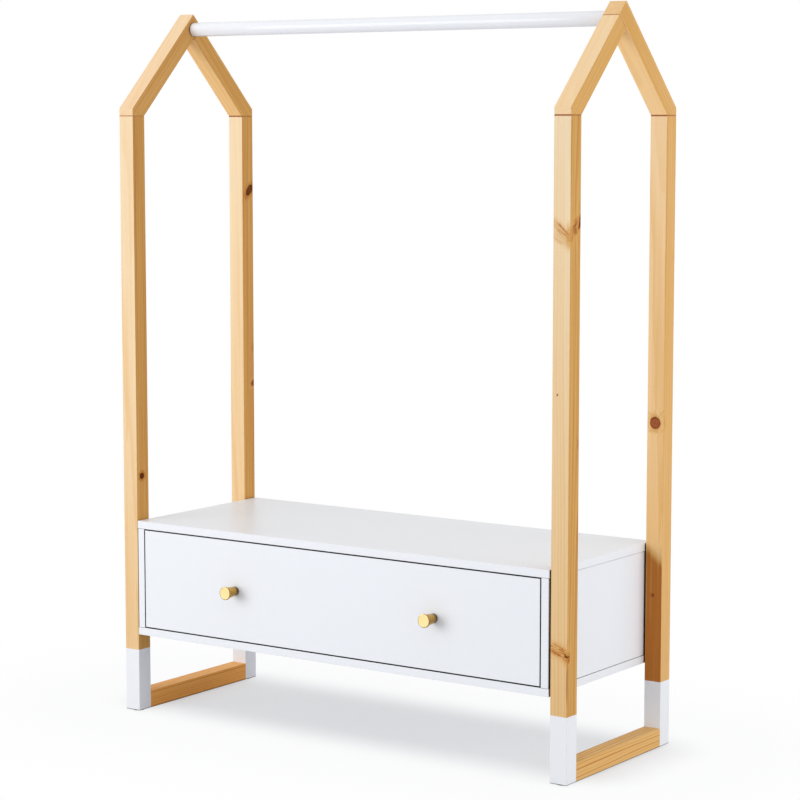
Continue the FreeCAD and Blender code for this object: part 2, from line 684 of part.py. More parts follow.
def make_roller(label, place, along):
    body = start_body(label, place, ALONG[along])
    rim = "roller_diameter / 2"
    half = (
        ("roller_bore / 2", "0"),
        (f"{rim} - roller_ease", "0"),
        (rim, "roller_ease"),
        (rim, "roller_width - roller_ease"),
        (f"{rim} - roller_ease", "roller_width"),
        ("roller_bore / 2", "roller_width"),
    )
    revolve(body, outline(add_sketch(body, "XZ"), half))


def make_runners():
    cabinet_pins, drawer_pins, cabinet_screws, drawer_screws = [], [], [], []
    cabinet_z = "drawer_z + cabinet_roller_z"
    drawer_y = "drawer_runner_front + drawer_roller_y"
    drawer_roller_height = "drawer_z + drawer_roller_z"
    for side, sign in SIDES:
        out, back = ("+x", "-x") if sign > 0 else ("-x", "+x")
        make_cabinet_runner(side, sign)
        make_drawer_runner(side, sign)
        start = f"{sign} * (side_inner - runner_gauge - roller_side_gap)"
        make_roller(f"{side}_cabinet_roller", (start, "cabinet_roller_y", cabinet_z), back)
        tip = f"{sign} * (side_inner - pin_length)"
        cabinet_pins.append(headed("pin_head_diameter", "pin_head_height", "pin_diameter", "pin_length",
                                   (tip, "cabinet_roller_y", cabinet_z), out))
        start = f"{sign} * (drawer_outer + runner_gauge + roller_side_gap)"
        make_roller(f"{side}_drawer_roller", (start, drawer_y, drawer_roller_height), out)
        tip = f"{sign} * (drawer_outer + pin_length)"
        drawer_pins.append(headed("pin_head_diameter", "pin_head_height", "pin_diameter", "pin_length",
                                  (tip, drawer_y, drawer_roller_height), back))
        for along in runner_screw_spots():
            place = (f"{sign} * (side_inner - runner_gauge)", f"runner_front + {along}",
                     "drawer_z + runner_screw_z")
            cabinet_screws.append(headed("runner_screw_head_diameter", "runner_screw_head_height",
                                         "runner_screw_diameter", "runner_screw_bite", place, out))
        for along in drawer_screw_spots():
            place = (f"{sign} * (drawer_outer - under_flange / 2)", f"drawer_runner_front + {along}",
                     "drawer_z - runner_gauge")
            drawer_screws.append(headed("runner_screw_head_diameter", "runner_screw_head_height",
                                        "runner_screw_diameter", "drawer_screw_length + runner_gauge",
                                        place, "+z"))
    group("cabinet_roller_pins", cabinet_pins)
    group("drawer_roller_pins", drawer_pins)
    group("cabinet_runner_screws", cabinet_screws)
    group("drawer_runner_screws", drawer_screws)


# Drawer

def drawer_dowel_heights():
    return ("drawer_dowel_margin", "drawer_dowel_top")


def make_drawer_front():
    """The front; its local Y is 0 on the rear face and its local Z is 0 at mid height."""
    body = start_body("drawer_front", ("0", "front_back", "front_middle"))
    face = rectangle(add_sketch(body, "XZ"), "-front_half", "front_half",
                     "-front_height / 2", "front_height / 2")
    pad(body, face, "board")
    round_edges(body, "board_ease")
    low = "drawer_z - front_middle"
    groove = rectangle(add_sketch(body, "XZ"), "-drawer_inner - groove_depth", "drawer_inner + groove_depth",
                       f"{low} + groove_lift", f"{low} + groove_lift + drawer_groove")
    pocket(body, groove, "groove_depth", True)
    dowels = [(f"{sign} * (drawer_inner + drawer_board / 2)", f"{low} + {height}")
              for side, sign in SIDES for height in drawer_dowel_heights()]
    dowel_holes = rings(add_sketch(body, "XZ"), dowels, "drawer_dowel_hole")
    pocket(body, dowel_holes, "drawer_dowel_bite + end_clearance", True)
    knobs = [(f"{sign} * knob_spacing / 2", "0") for side, sign in SIDES]
    pocket(body, rings(add_sketch(body, "XZ"), knobs, "knob_screw_hole"), "board", True)


def make_drawer_side(side, sign):
    """A drawer side; its local X is 0 on the outer face, its local Y 0 at the front, its local Z 0 below."""
    outward = sign > 0
    inner = f"{-sign} * drawer_board"
    body = start_body(f"{side}_drawer_side", (f"{sign} * drawer_outer", "front_back", "drawer_z"))
    pad(body, rectangle(add_sketch(body, "XY"), inner, "0", "0", "drawer_depth"), "drawer_side_height")
    round_edges(body, "board_ease")
    groove = rectangle(add_sketch(body, "YZ", inner), "0", "drawer_depth",
                       "groove_lift", "groove_lift + drawer_groove")
    pocket(body, groove, "groove_depth", outward)
    front = [(f"{inner} / 2", height) for height in drawer_dowel_heights()]
    front_holes = rings(add_sketch(body, "XZ"), front, "drawer_dowel_hole")
    pocket(body, front_holes, "drawer_dowel_rest + end_clearance")
    back = [("drawer_depth - drawer_board / 2", height) for height in drawer_dowel_heights()]
    back_holes = rings(add_sketch(body, "YZ", inner), back, "drawer_dowel_hole")
    pocket(body, back_holes, "drawer_dowel_bite + end_clearance", outward)
    shift = "drawer_runner_front - front_back"
    pilots = [(f"{-sign} * under_flange / 2", f"{shift} + {along}") for along in drawer_screw_spots()]
    pilot_holes = rings(add_sketch(body, "XY"), pilots, "runner_screw_hole")
    pocket(body, pilot_holes, "drawer_screw_length + end_clearance", True)


def make_drawer_back():
    """The back between the sides; its local Y is 0 on the rear face."""
    body = start_body("drawer_back", ("0", "front_back + drawer_depth", "drawer_z"))
    face = rectangle(add_sketch(body, "XZ"), "-drawer_inner", "drawer_inner", "0", "drawer_side_height")
    pad(body, face, "drawer_board")
    round_edges(body, "board_ease")
    groove = rectangle(add_sketch(body, "XZ", "-drawer_board"), "-drawer_inner", "drawer_inner",
                       "groove_lift", "groove_lift + drawer_groove")
    pocket(body, groove, "groove_depth")
    spots = [("-drawer_board / 2", height) for height in drawer_dowel_heights()]
    for side, sign in SIDES:
        end_face = rings(add_sketch(body, "YZ", f"{sign} * drawer_inner"), spots, "drawer_dowel_hole")
        pocket(body, end_face, "drawer_dowel_rest + end_clearance", sign < 0)


def make_drawer_bottom():
    body = start_body("drawer_bottom", ("0", "front_back", "drawer_z + groove_lift + groove_clearance"))
    across = "drawer_inner + groove_reach"
    rear = "drawer_depth - drawer_board + groove_reach"
    pad(body, rectangle(add_sketch(body, "XY"), f"-({across})", across, "-groove_reach", rear),
        "drawer_bottom_thickness")


def make_drawer_dowels():
    front, back = [], []
    for side, sign in SIDES:
        out = "+x" if sign > 0 else "-x"
        for height in drawer_dowel_heights():
            level = f"drawer_z + {height}"
            across = f"{sign} * (drawer_inner + drawer_board / 2)"
            front.append(rod("drawer_dowel_diameter", "drawer_dowel_length",
                             (across, "front_back - drawer_dowel_bite", level), "+y"))
            start = f"{sign} * (drawer_inner - drawer_dowel_rest)"
            back.append(rod("drawer_dowel_diameter", "drawer_dowel_length",
                            (start, "front_back + drawer_depth - drawer_board / 2", level), out))
    group("drawer_front_dowels", front)
    group("drawer_back_dowels", back)


def make_knob(side, sign):
    """A turned knob with a slightly tapered neck and a broader disc; local Z runs away from the drawer."""
    place = (f"{sign} * knob_spacing / 2", "box_front", "front_middle")
    body = start_body(f"{side}_knob", place, ALONG["-y"])
    bore = "knob_screw_hole / 2"
    depth = "knob_screw_bite + end_clearance"
    rim = "knob_disc_diameter / 2"
    disc_back = "knob_projection - knob_disc_thickness"
    half = (
        (bore, "0"),
        ("knob_base_diameter / 2 - knob_bevel", "0"),
        ("knob_base_diameter / 2", "knob_bevel"),
        ("knob_neck_diameter / 2", disc_back),
        (f"{rim} - knob_bevel", disc_back),
        (rim, f"{disc_back} + knob_bevel"),
        (rim, "knob_projection - knob_bevel"),
        (f"{rim} - knob_bevel", "knob_projection"),
        ("0", "knob_projection"),
        ("0", depth),
        (bore, depth),
    )
    revolve(body, outline(add_sketch(body, "XZ"), half))


def make_knob_screws():
    screws = []
    for side, sign in SIDES:
        place = (f"{sign} * knob_spacing / 2", "front_back", "front_middle")
        screws.append(headed("knob_screw_head_diameter", "knob_screw_head_height", "knob_screw_diameter",
                             "board + knob_screw_bite", place, "-y"))
    group("knob_screws", screws)


def make_drawer():
    make_drawer_front()
    make_drawer_back()
    make_drawer_bottom()
    for side, sign in SIDES:
        make_drawer_side(side, sign)
        make_knob(side, sign)
    make_drawer_dowels()
    make_knob_screws()


def make_box():
    make_level_panel("top_panel", "bay_top", True)
    make_level_panel("bottom_panel", "bay_bottom", False)
    make_back_panel()
    for side, sign in SIDES:
        make_side_panel(side, sign)
    make_box_fixings()
    make_frame_bolts()


def check_document():
    for item in doc.Objects:
        if "Invalid" in item.State or "Error" in item.State:
            raise RuntimeError(f"{item.Label} did not compute: {item.State}")
    for node in nodes:
        if node.Shape.isNull() or not node.Shape.isValid():
            raise RuntimeError(f"{node.Label} has no valid shape")


def write_parts():
    os.makedirs("parts", exist_ok=True)
    for node in nodes:
        node.Shape.exportStep(f"parts/{node.Label}.step")
    print(f"{len(nodes)} nodes written")


make_side_frames()
make_frame_fixings()
make_hanging_rail()
make_box()
make_runners()
make_drawer()
doc.recompute()
check_document()
write_parts()
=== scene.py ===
"""Looks and studio stage of a child's clothing rack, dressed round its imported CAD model.

Laid out as an add-on: each operator finishes one group of pieces and the sidebar panel lists them.
All lengths are metres in the CAD frame: +X along the hanging rail, +Y to the back, +Z up.
"""
import json
import math
from typing import NamedTuple

import bpy
from bpy.props import FloatProperty, FloatVectorProperty, PointerProperty
from mathutils import Euler, Matrix, Vector


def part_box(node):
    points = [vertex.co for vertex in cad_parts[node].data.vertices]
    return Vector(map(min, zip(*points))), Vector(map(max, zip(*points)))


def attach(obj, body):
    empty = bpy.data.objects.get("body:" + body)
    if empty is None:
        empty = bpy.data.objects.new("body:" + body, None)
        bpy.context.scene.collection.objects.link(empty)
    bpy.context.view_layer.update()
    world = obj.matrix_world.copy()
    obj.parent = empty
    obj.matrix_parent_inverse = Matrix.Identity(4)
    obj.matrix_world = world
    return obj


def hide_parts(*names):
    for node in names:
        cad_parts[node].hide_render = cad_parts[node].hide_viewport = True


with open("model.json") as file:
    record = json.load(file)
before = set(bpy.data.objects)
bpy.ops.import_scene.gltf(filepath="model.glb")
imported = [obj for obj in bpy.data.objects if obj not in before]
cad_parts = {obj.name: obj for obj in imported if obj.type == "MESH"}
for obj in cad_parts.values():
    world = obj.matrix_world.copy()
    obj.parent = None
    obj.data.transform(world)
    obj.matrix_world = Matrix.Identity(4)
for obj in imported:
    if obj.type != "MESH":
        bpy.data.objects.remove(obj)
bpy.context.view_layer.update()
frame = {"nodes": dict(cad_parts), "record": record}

bl_info = {
    "name": "Kids clothing rack",
    "version": (1, 0, 0),
    "blender": (4, 5, 0),
    "location": "View3D > Sidebar > Rack",
    "description": "Pine, paint and brass for a house-shaped clothing rack, with its studio stage",
    "category": "Object",
}

NODES = frame["nodes"]
SLOTS = {entry["node"]: entry["material_slot"] for entry in frame["record"]["subparts"]}


def middle_of(node):
    """Middle of a node's box at rest."""
    low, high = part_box(node)
    return (low + high) / 2


HALF_STICK = 0.015
RIDGE_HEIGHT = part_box("left_front_rafter")[1].z
EAVES_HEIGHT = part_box("left_front_post")[1].z
SOLE_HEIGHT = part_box("right_floor_rail")[0].z
FRAME_X = middle_of("right_front_post").x
POST_Y = middle_of("left_back_post").y
RAIL_LOW, RAIL_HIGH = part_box("hanging_rail")
KNOB_LOW, KNOB_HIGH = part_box("right_knob")
KNOB_RIM = (KNOB_HIGH.x - KNOB_LOW.x) / 2
BOX_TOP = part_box("top_panel")[1].z
BAY_HALF_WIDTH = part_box("right_side_panel")[0].x
BAY_MIDDLE = (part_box("top_panel")[0].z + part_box("bottom_panel")[1].z) / 2
BAY_HALF_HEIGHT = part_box("top_panel")[0].z - BAY_MIDDLE


# Sizes and colours that a user would change

COLOUR = {"subtype": "COLOR", "size": 3, "min": 0, "max": 1}
LENGTH = {"subtype": "DISTANCE", "unit": "LENGTH"}
ANGLE = {"subtype": "ANGLE", "unit": "ROTATION"}
POWER = {"subtype": "POWER", "unit": "POWER"}


class RackFinish(bpy.types.PropertyGroup):
    """Colours of the wood, paint and metal, and the height of the dipped feet."""

    pine_pale: FloatVectorProperty(
        name="Pale pine", description="Sapwood at its palest",
        default=(0.93, 0.74, 0.49), **COLOUR)
    pine_honey: FloatVectorProperty(
        name="Honey pine", description="Early wood of a usual ring",
        default=(0.88, 0.60, 0.32), **COLOUR)
    pine_amber: FloatVectorProperty(
        name="Amber pine", description="Late wood and the resinous sides",
        default=(0.70, 0.385, 0.115), **COLOUR)
    pine_brown: FloatVectorProperty(
        name="Brown pine", description="Darkest late wood and the strokes of a flame",
        default=(0.49, 0.17, 0.033), **COLOUR)
    knot_red: FloatVectorProperty(
        name="Red knot", description="Heart of a live knot and the glue lines",
        default=(0.36, 0.10, 0.040), **COLOUR)
    knot_dark: FloatVectorProperty(
        name="Dark knot", description="Heart of a dead knot and the rim of a live one",
        default=(0.15, 0.037, 0.006), **COLOUR)
    knot_bark: FloatVectorProperty(
        name="Knot bark", description="Bark ring round a dead knot",
        default=(0.045, 0.010, 0.0015), **COLOUR)
    white_paint: FloatVectorProperty(
        name="White paint", description="Satin paint of the box, the rail and the dipped feet",
        default=(0.857, 0.866, 0.89), **COLOUR)
    # Colour of the dark joints between the box panels, and of painted shade in the gaps round the
    # drawer, at the soles and at the rail's ends
    joint_and_shade_dark: FloatVectorProperty(
        name="Dark gap", description="Depth of the gaps round the drawer, the joints and soles",
        default=(0.022, 0.022, 0.024), **COLOUR)
    # The necks' brass is set darker than the face: painted shade
    brass: FloatVectorProperty(
        name="Brass", description="Turned brass of the knob necks",
        default=(0.60, 0.345, 0.060), **COLOUR)
    brass_face: FloatVectorProperty(
        name="Brass face", description="Polished front of the knobs",
        default=(0.87, 0.675, 0.325), **COLOUR)
    # Dark brass for the fine lathe rings, and painted shade at the knob base and round the rim of
    # the face
    brass_rings_and_shade: FloatVectorProperty(
        name="Brass shade", description="Dulled brass in grooves and at the knob base",
        default=(0.12, 0.066, 0.014), **COLOUR)
    dip_height: FloatProperty(
        name="Dip height", description="Top of the white paint on the post feet",
        default=0.109, min=0, max=0.5, **LENGTH)


class RackStage(bpy.types.PropertyGroup):
    """Camera and lamps of the studio."""

    azimuth: FloatProperty(
        name="Azimuth", description="Camera turned to the right of the drawer front",
        default=math.radians(34.887), **ANGLE)
    pitch: FloatProperty(
        name="Pitch", description="Camera tilted down",
        default=math.radians(6.388), **ANGLE)
    distance: FloatProperty(
        name="Distance", description="Camera to its aim",
        default=4.12337, **LENGTH)
    aim_side: FloatProperty(
        name="Aim aside", description="Aim to the right of the middle",
        default=0.01714, **LENGTH)
    aim_height: FloatProperty(
        name="Aim height", description="Aim above the floor",
        default=0.55482, **LENGTH)
    lens: FloatProperty(
        name="Lens", description="Focal length in millimetres",
        subtype="DISTANCE_CAMERA", default=111.47)
    sky: FloatProperty(
        name="Room light", description="Strength of the even white room", min=0, default=0.675)
    key_power: FloatProperty(
        name="Key lamp", description="Large soft lamp at the front left",
        default=104, **POWER)
    side_power: FloatProperty(
        name="Side lamp", description="Soft lamp at the right",
        default=19, **POWER)
    top_power: FloatProperty(
        name="Top lamp", description="Weak lamp overhead",
        default=9, **POWER)


# Shader maths

class Wire:
    """One socket of a paint; arithmetic on wires adds Math nodes."""

    def __init__(self, paint, socket):
        self.paint = paint
        self.socket = socket

    def math(self, operation, first, second=None):
        values = {0: first} if second is None else {0: first, 1: second}
        return self.paint.node("ShaderNodeMath", {"operation": operation}, values)

    def __add__(self, other):
        return self.math("ADD", self, other)

    def __radd__(self, other):
        return self.math("ADD", other, self)

    def __sub__(self, other):
        return self.math("SUBTRACT", self, other)

    def __rsub__(self, other):
        return self.math("SUBTRACT", other, self)

    def __mul__(self, other):
        return self.math("MULTIPLY", self, other)

    def __rmul__(self, other):
        return self.math("MULTIPLY", other, self)

    def __truediv__(self, other):
        return self.math("DIVIDE", self, other)

    def __rtruediv__(self, other):
        return self.math("DIVIDE", other, self)

    def __abs__(self):
        return self.math("ABSOLUTE", self)

    def fraction(self):
        return self.math("FRACT", self)

    def whole(self):
        return self.math("FLOOR", self)

    def least(self, other):
        return self.math("MINIMUM", self, other)

    def most(self, other):
        return self.math("MAXIMUM", self, other)

    def rise(self, start, end):
        """0 before start, 1 after end, smooth between."""
        return self.paint.node("ShaderNodeMapRange", {"interpolation_type": "SMOOTHSTEP"},
                               {"Value": self, "From Min": start, "From Max": end})

    def fall(self, start, end):
        """1 before start, 0 after end, smooth between."""
        return 1 - self.rise(start, end)


class Paint:
    """The node tree of a material or a world, written as expressions."""

    def __init__(self, owner):
        owner.use_nodes = True
        self.owner = owner
        self.tree = owner.node_tree
        self.tree.nodes.clear()

    def node(self, kind, settings=None, inputs=None, out=0):
        """Add a node: its settings first, then the values or links of its sockets."""
        made = self.tree.nodes.new(kind)
        for key, value in (settings or {}).items():
            if key == "stops":
                self.set_stops(made.color_ramp.elements, value)
            else:
                setattr(made, key, value)
        for key, value in (inputs or {}).items():
            if isinstance(value, Wire):
                self.tree.links.new(value.socket, made.inputs[key])
            else:
                made.inputs[key].default_value = value
        return Wire(self, made.outputs[out]) if len(made.outputs) else None

    @staticmethod
    def set_stops(elements, stops):
        while len(elements) < len(stops):
            elements.new(1.0)
        for element, (position, colour) in zip(elements, stops):
            element.position = position
            element.color = (*colour, 1)

    def place(self):
        return self.node("ShaderNodeTexCoord", out="Object")

    def facing(self):
        return self.node("ShaderNodeTexCoord", out="Normal")

    def split(self, vector):
        return [self.node("ShaderNodeSeparateXYZ", None, {0: vector}, axis) for axis in "XYZ"]

    def join(self, x=0.0, y=0.0, z=0.0):
        return self.node("ShaderNodeCombineXYZ", None, {"X": x, "Y": y, "Z": z})

    def height(self):
        """Height above the floor."""
        return self.split(self.place())[2]

    def length(self, x, y):
        """Length of a flat vector."""
        return self.node("ShaderNodeVectorMath", {"operation": "LENGTH"},
                         {0: self.join(x, y)}, "Value")

    def stretch(self, vector, scale, shift=(0, 0, 0)):
        return self.node("ShaderNodeVectorMath", {"operation": "MULTIPLY_ADD"},
                         {0: vector, 1: scale, 2: shift})

    def noise(self, vector, scale=1.0, detail=2.0, rough=0.5):
        return self.node("ShaderNodeTexNoise", {"noise_dimensions": "3D"},
                         {"Vector": vector, "Scale": scale, "Detail": detail, "Roughness": rough})

    def swing(self, vector, scale=1.0, detail=2.0, rough=0.5):
        """Noise that swings about zero."""
        return self.noise(vector, scale, detail, rough) - 0.5

    def mix(self, factor, first, second, blend="MIX"):
        """Mix two colours."""
        return self.node("ShaderNodeMix", {"data_type": "RGBA", "blend_type": blend},
                         {0: factor, 6: solid(first), 7: solid(second)}, 2)

    def bump(self, height, distance, strength=1.0):
        return self.node("ShaderNodeBump", None,
                         {"Height": height, "Distance": distance, "Strength": strength})

    def surface(self, **inputs):
        """Close the paint with a Principled shader; underscores in names stand for spaces."""
        named = {key.replace("_", " "): solid(value) if key == "Base_Color" else value
                 for key, value in inputs.items()}
        return self.close(self.node("ShaderNodeBsdfPrincipled", None, named))

    def light(self, kind, colour=(1, 1, 1), strength=1.0):
        """A shader that gives light, plain white unless it is told otherwise."""
        return self.node(kind, None, {"Color": solid(colour), "Strength": strength})

    def blend(self, factor, first, second):
        """Mix two shaders."""
        return self.node("ShaderNodeMixShader", None, {0: factor, 1: first, 2: second})

    def close(self, shader, output="ShaderNodeOutputMaterial"):
        self.node(output, None, {"Surface": shader})
        return self.owner


def new_paint(name):
    return Paint(bpy.data.materials.new(name))


def solid(colour):
    """A plain colour with its alpha, or a wire as it is."""
    if isinstance(colour, Wire):
        return colour
    return (*colour[:3], 1.0)


def finish_settings():
    return bpy.context.scene.rack_finish


def coat(piece, material):
    """Give a piece one material in place of any other."""
    piece.data.materials.clear()
    piece.data.materials.append(material)


def dress(material, *nodes):
    """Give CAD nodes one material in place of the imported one."""
    for node in nodes:
        coat(NODES[node], material)


def dress_slot(slot, material):
    """Dress every CAD node of one of the record's material slots."""
    dress(material, *(node for node, name in SLOTS.items() if name == slot))


# Pine

# Cells per metre of each noise, across and along the stick
BROAD_CELLS = (20, 20, 1.6)
WANDER_CELLS = (70, 70, 9)
FIBRE_CELLS = (1500, 1500, 22)
STREAK_CELLS = (210, 210, 2.6)
CRUMBLE_CELLS = (330, 330, 260)
# How far the wander of the grain and the knots push the rings aside
WANDER_PUSH = 0.0014
KNOT_PUSH = 0.0045
# Heights at which a front or side that drifts has its plain warmth
FRONT_PLAIN_AT = 0.9
SIDE_PLAIN_AT = 0.6
# Painted shadow of the box on the front of a post beside it: it fades out over these depths below
# the box top, along a slant
BOX_SHADOW_FULL = 0.034
BOX_SHADOW_END = 0.004
BOX_SHADOW_SLANT = 0.8
# Painted light from the floor below: undersides are brightened and made more golden by this
UNDERSIDE_LIGHT = (1.12, 1.07, 0.94)
NO_TINT = (1, 1, 1)
DIP_EDGE = 0.0006
# Painted contact shadow at the foot of posts and floor rails: full up to the first height above the
# soles, gone by the second
SOLE_DARK = 0.0008
SOLE_END = 0.0018
PINE_RELIEF = 0.00012


class Knot(NamedTuple):
    """A mark on one face of a stick, placed from the stick's middle line.

    A live knot is red and a dead one dark. A flame is the resinous grain beside a knot that lies
    inside, and a check is a thin crack.
    """

    face: str
    across: float
    height: float
    half_width: float
    half_height: float
    tilt: float = 0.0
    tone: str = "dead"
    strength: float = 1.0
    depth: float = 0.010


class Stick(NamedTuple):
    """How one stick was cut and glued, and the warmth of its front and sides; the sides run warmer
    partly as the other cut of the grain and partly as painted shade.
    """

    centre: tuple
    turn: tuple
    pith: tuple  # heart of the tree, beside the stick
    lean: tuple  # how far the pith runs aside in a metre
    seed: float
    front: float
    side: float
    drift: float = 0.0  # warmth that the front gains in a metre downwards
    side_drift: float = 0.0  # warmth that the sides gain in a metre upwards
    rings: float = 0.12  # warmth of the late wood
    ring_width: float = 0.0042
    early: float = 0.2  # share of a ring before its late wood
    wave: float = 0.016  # how far the rings wander
    # Painted light and shade from below, as warmth on the underside
    under: float = 0.0  # warmth added on the underside
    # Painted shadow of the box on the front beside it, with the grain streaking through
    box_shadow: float = 0.0  # warmth added on the front beside the box
    tint: tuple = NO_TINT
    glue: float = 0.9  # depth of the glue lines
    seams: tuple = ()
    knots: tuple = ()
    dipped: bool = False


def knot_place(local, knot):
    """Place across and along a knot in units of its outline, and the mask of the wood near it."""
    x, y, z = local
    side = 1 if knot.face[0] == "+" else -1
    inward, run = (x, y) if knot.face[1] == "x" else (y, x)
    near = (inward * side).rise(HALF_STICK - knot.depth, HALF_STICK - 0.4 * knot.depth)
    run = run - knot.across
    climb = z - knot.height
    turn_cos, turn_sin = math.cos(knot.tilt), math.sin(knot.tilt)
    wide = (run * turn_cos + climb * turn_sin) / knot.half_width
    tall = (climb * turn_cos - run * turn_sin) / knot.half_height
    return wide, tall, near * knot.strength


def colour_flame(paint, colour, knot, wide, tall, near, crumble):
    """Resinous strokes of grain over the wood, along the wider axis of the flame."""
    finish = finish_settings()
    tall = tall + crumble * 0.6
    reach = paint.length(wide, tall)
    own_place = knot.height * 90
    strokes = paint.noise(paint.join(wide * 1.1, tall * 2.8, own_place), 1.0, 3, 0.55)
    start = 0.5 - 0.12 * knot.strength
    flush = reach.fall(0.3, 1.9) * near * 0.78
    deep = strokes.rise(start, start + 0.24) * reach.fall(0.45, 1.2) * near
    layers = (
        (flush.least(1.0), finish.pine_amber),
        ((deep * 1.1).least(1.0), finish.pine_brown),
        (((deep - 0.5).most(0.0) * 0.7).least(0.7), finish.knot_red),
        (((deep - 1.0).most(0.0) * 1.3).least(0.8), finish.knot_dark),
    )
    for factor, tone in layers:
        colour = paint.mix(factor, colour, tone)
    return colour


def colour_knot(paint, colour, knot, wide, tall, reach, near, crumble):
    """Lay one round knot, or a thin check, over the colour of the wood."""
    finish = finish_settings()
    if knot.tone == "check":
        return paint.mix(reach.fall(0.4, 1.1) * near, colour, finish.knot_dark)
    if knot.tone == "live":
        heart, bark = finish.knot_red, finish.knot_dark
        halo_depth, aged, rim_depth = 0.3, 0.05, 0.75
    else:
        heart, bark = finish.knot_dark, finish.knot_bark
        halo_depth, aged, rim_depth = 0.55, 0.12, 0.95
    halo = paint.length(wide, tall * 0.62).fall(0.7, 1.25)
    colour = paint.mix(halo * near * halo_depth, colour, finish.pine_brown)
    grown = (reach * 3.4).fraction().rise(0.3, 0.9) * 0.22 + crumble * 0.7 + aged
    pith = reach.fall(0.06, 0.16) * 0.6
    heart = paint.mix(grown.most(pith).least(1.0), heart, bark)
    colour = paint.mix(reach.fall(0.93, 1.03) * near, colour, heart)
    rim = reach.rise(0.72, 0.94) * reach.fall(0.98, 1.12)
    return paint.mix(rim * near * rim_depth, colour, bark)


def late_wood(paint, stick, local, broad, wander, bend):
    """Mask of the late wood in rings round the pith, each ring of its own strength."""
    x, y, z = local
    aside = x - (stick.pith[0] - z * stick.lean[0])
    behind = y - (stick.pith[1] - z * stick.lean[1])
    radius = paint.length(aside, behind) + broad * stick.wave
    turns = (radius + wander * WANDER_PUSH + bend * KNOT_PUSH) / stick.ring_width
    ring = turns.fraction()
    chance = paint.node("ShaderNodeTexWhiteNoise", {"noise_dimensions": "1D"}, {"W": turns.whole()})
    return ring.rise(stick.early, 0.94) * ring.fall(0.95, 1.0) * (chance * 0.9 + 0.35)


def face_warmth(stick, local, normal, sideways, underside, streak):
    """Warmth of the faces before the grain: front and sides, each with its drift, the sides warmer
    partly as grain and partly as painted shade, with painted light from below and the box's painted
    shadow on the front.
    """
    x, _, z = local
    front, side = stick.front, stick.side
    if stick.drift:
        front = (FRONT_PLAIN_AT - z) * stick.drift + front
    # Painted shadow cast by the box on the post's front, streaked by the grain
    if stick.box_shadow:
        slant = z + x * BOX_SHADOW_SLANT
        looks_ahead = (-1 * normal[1]).rise(0.6, 0.9)
        box_shadow_mask = slant.fall(BOX_TOP - BOX_SHADOW_FULL, BOX_TOP - BOX_SHADOW_END) * looks_ahead
        front = box_shadow_mask * (streak * 0.7 + stick.box_shadow) + front
    # Painted light and shade from below on the undersides
    if stick.under:
        front = underside * stick.under + front
    if stick.side_drift:
        side = (z - SIDE_PLAIN_AT) * stick.side_drift + side
    return sideways * (side - front) + front


def dip_foot(paint, z, wander, fibre, colour, roughness, height):
    """White dip over the foot of a post: colour, roughness and height of what then shows."""
    finish = finish_settings()
    line = z + wander * 0.0009 + fibre * 0.0003
    painted = line.fall(finish.dip_height - DIP_EDGE, finish.dip_height + DIP_EDGE)
    white = paint.mix(fibre * 0.05 + 0.03, finish.white_paint, finish.pine_pale)
    colour = paint.mix(painted, colour, white)
    roughness = paint.node("ShaderNodeMix", {"data_type": "FLOAT"},
                           {0: painted, 2: roughness, 3: fibre * 0.08 + 0.36})
    return colour, roughness, height * (1 - painted * 0.7) + painted * 1.2


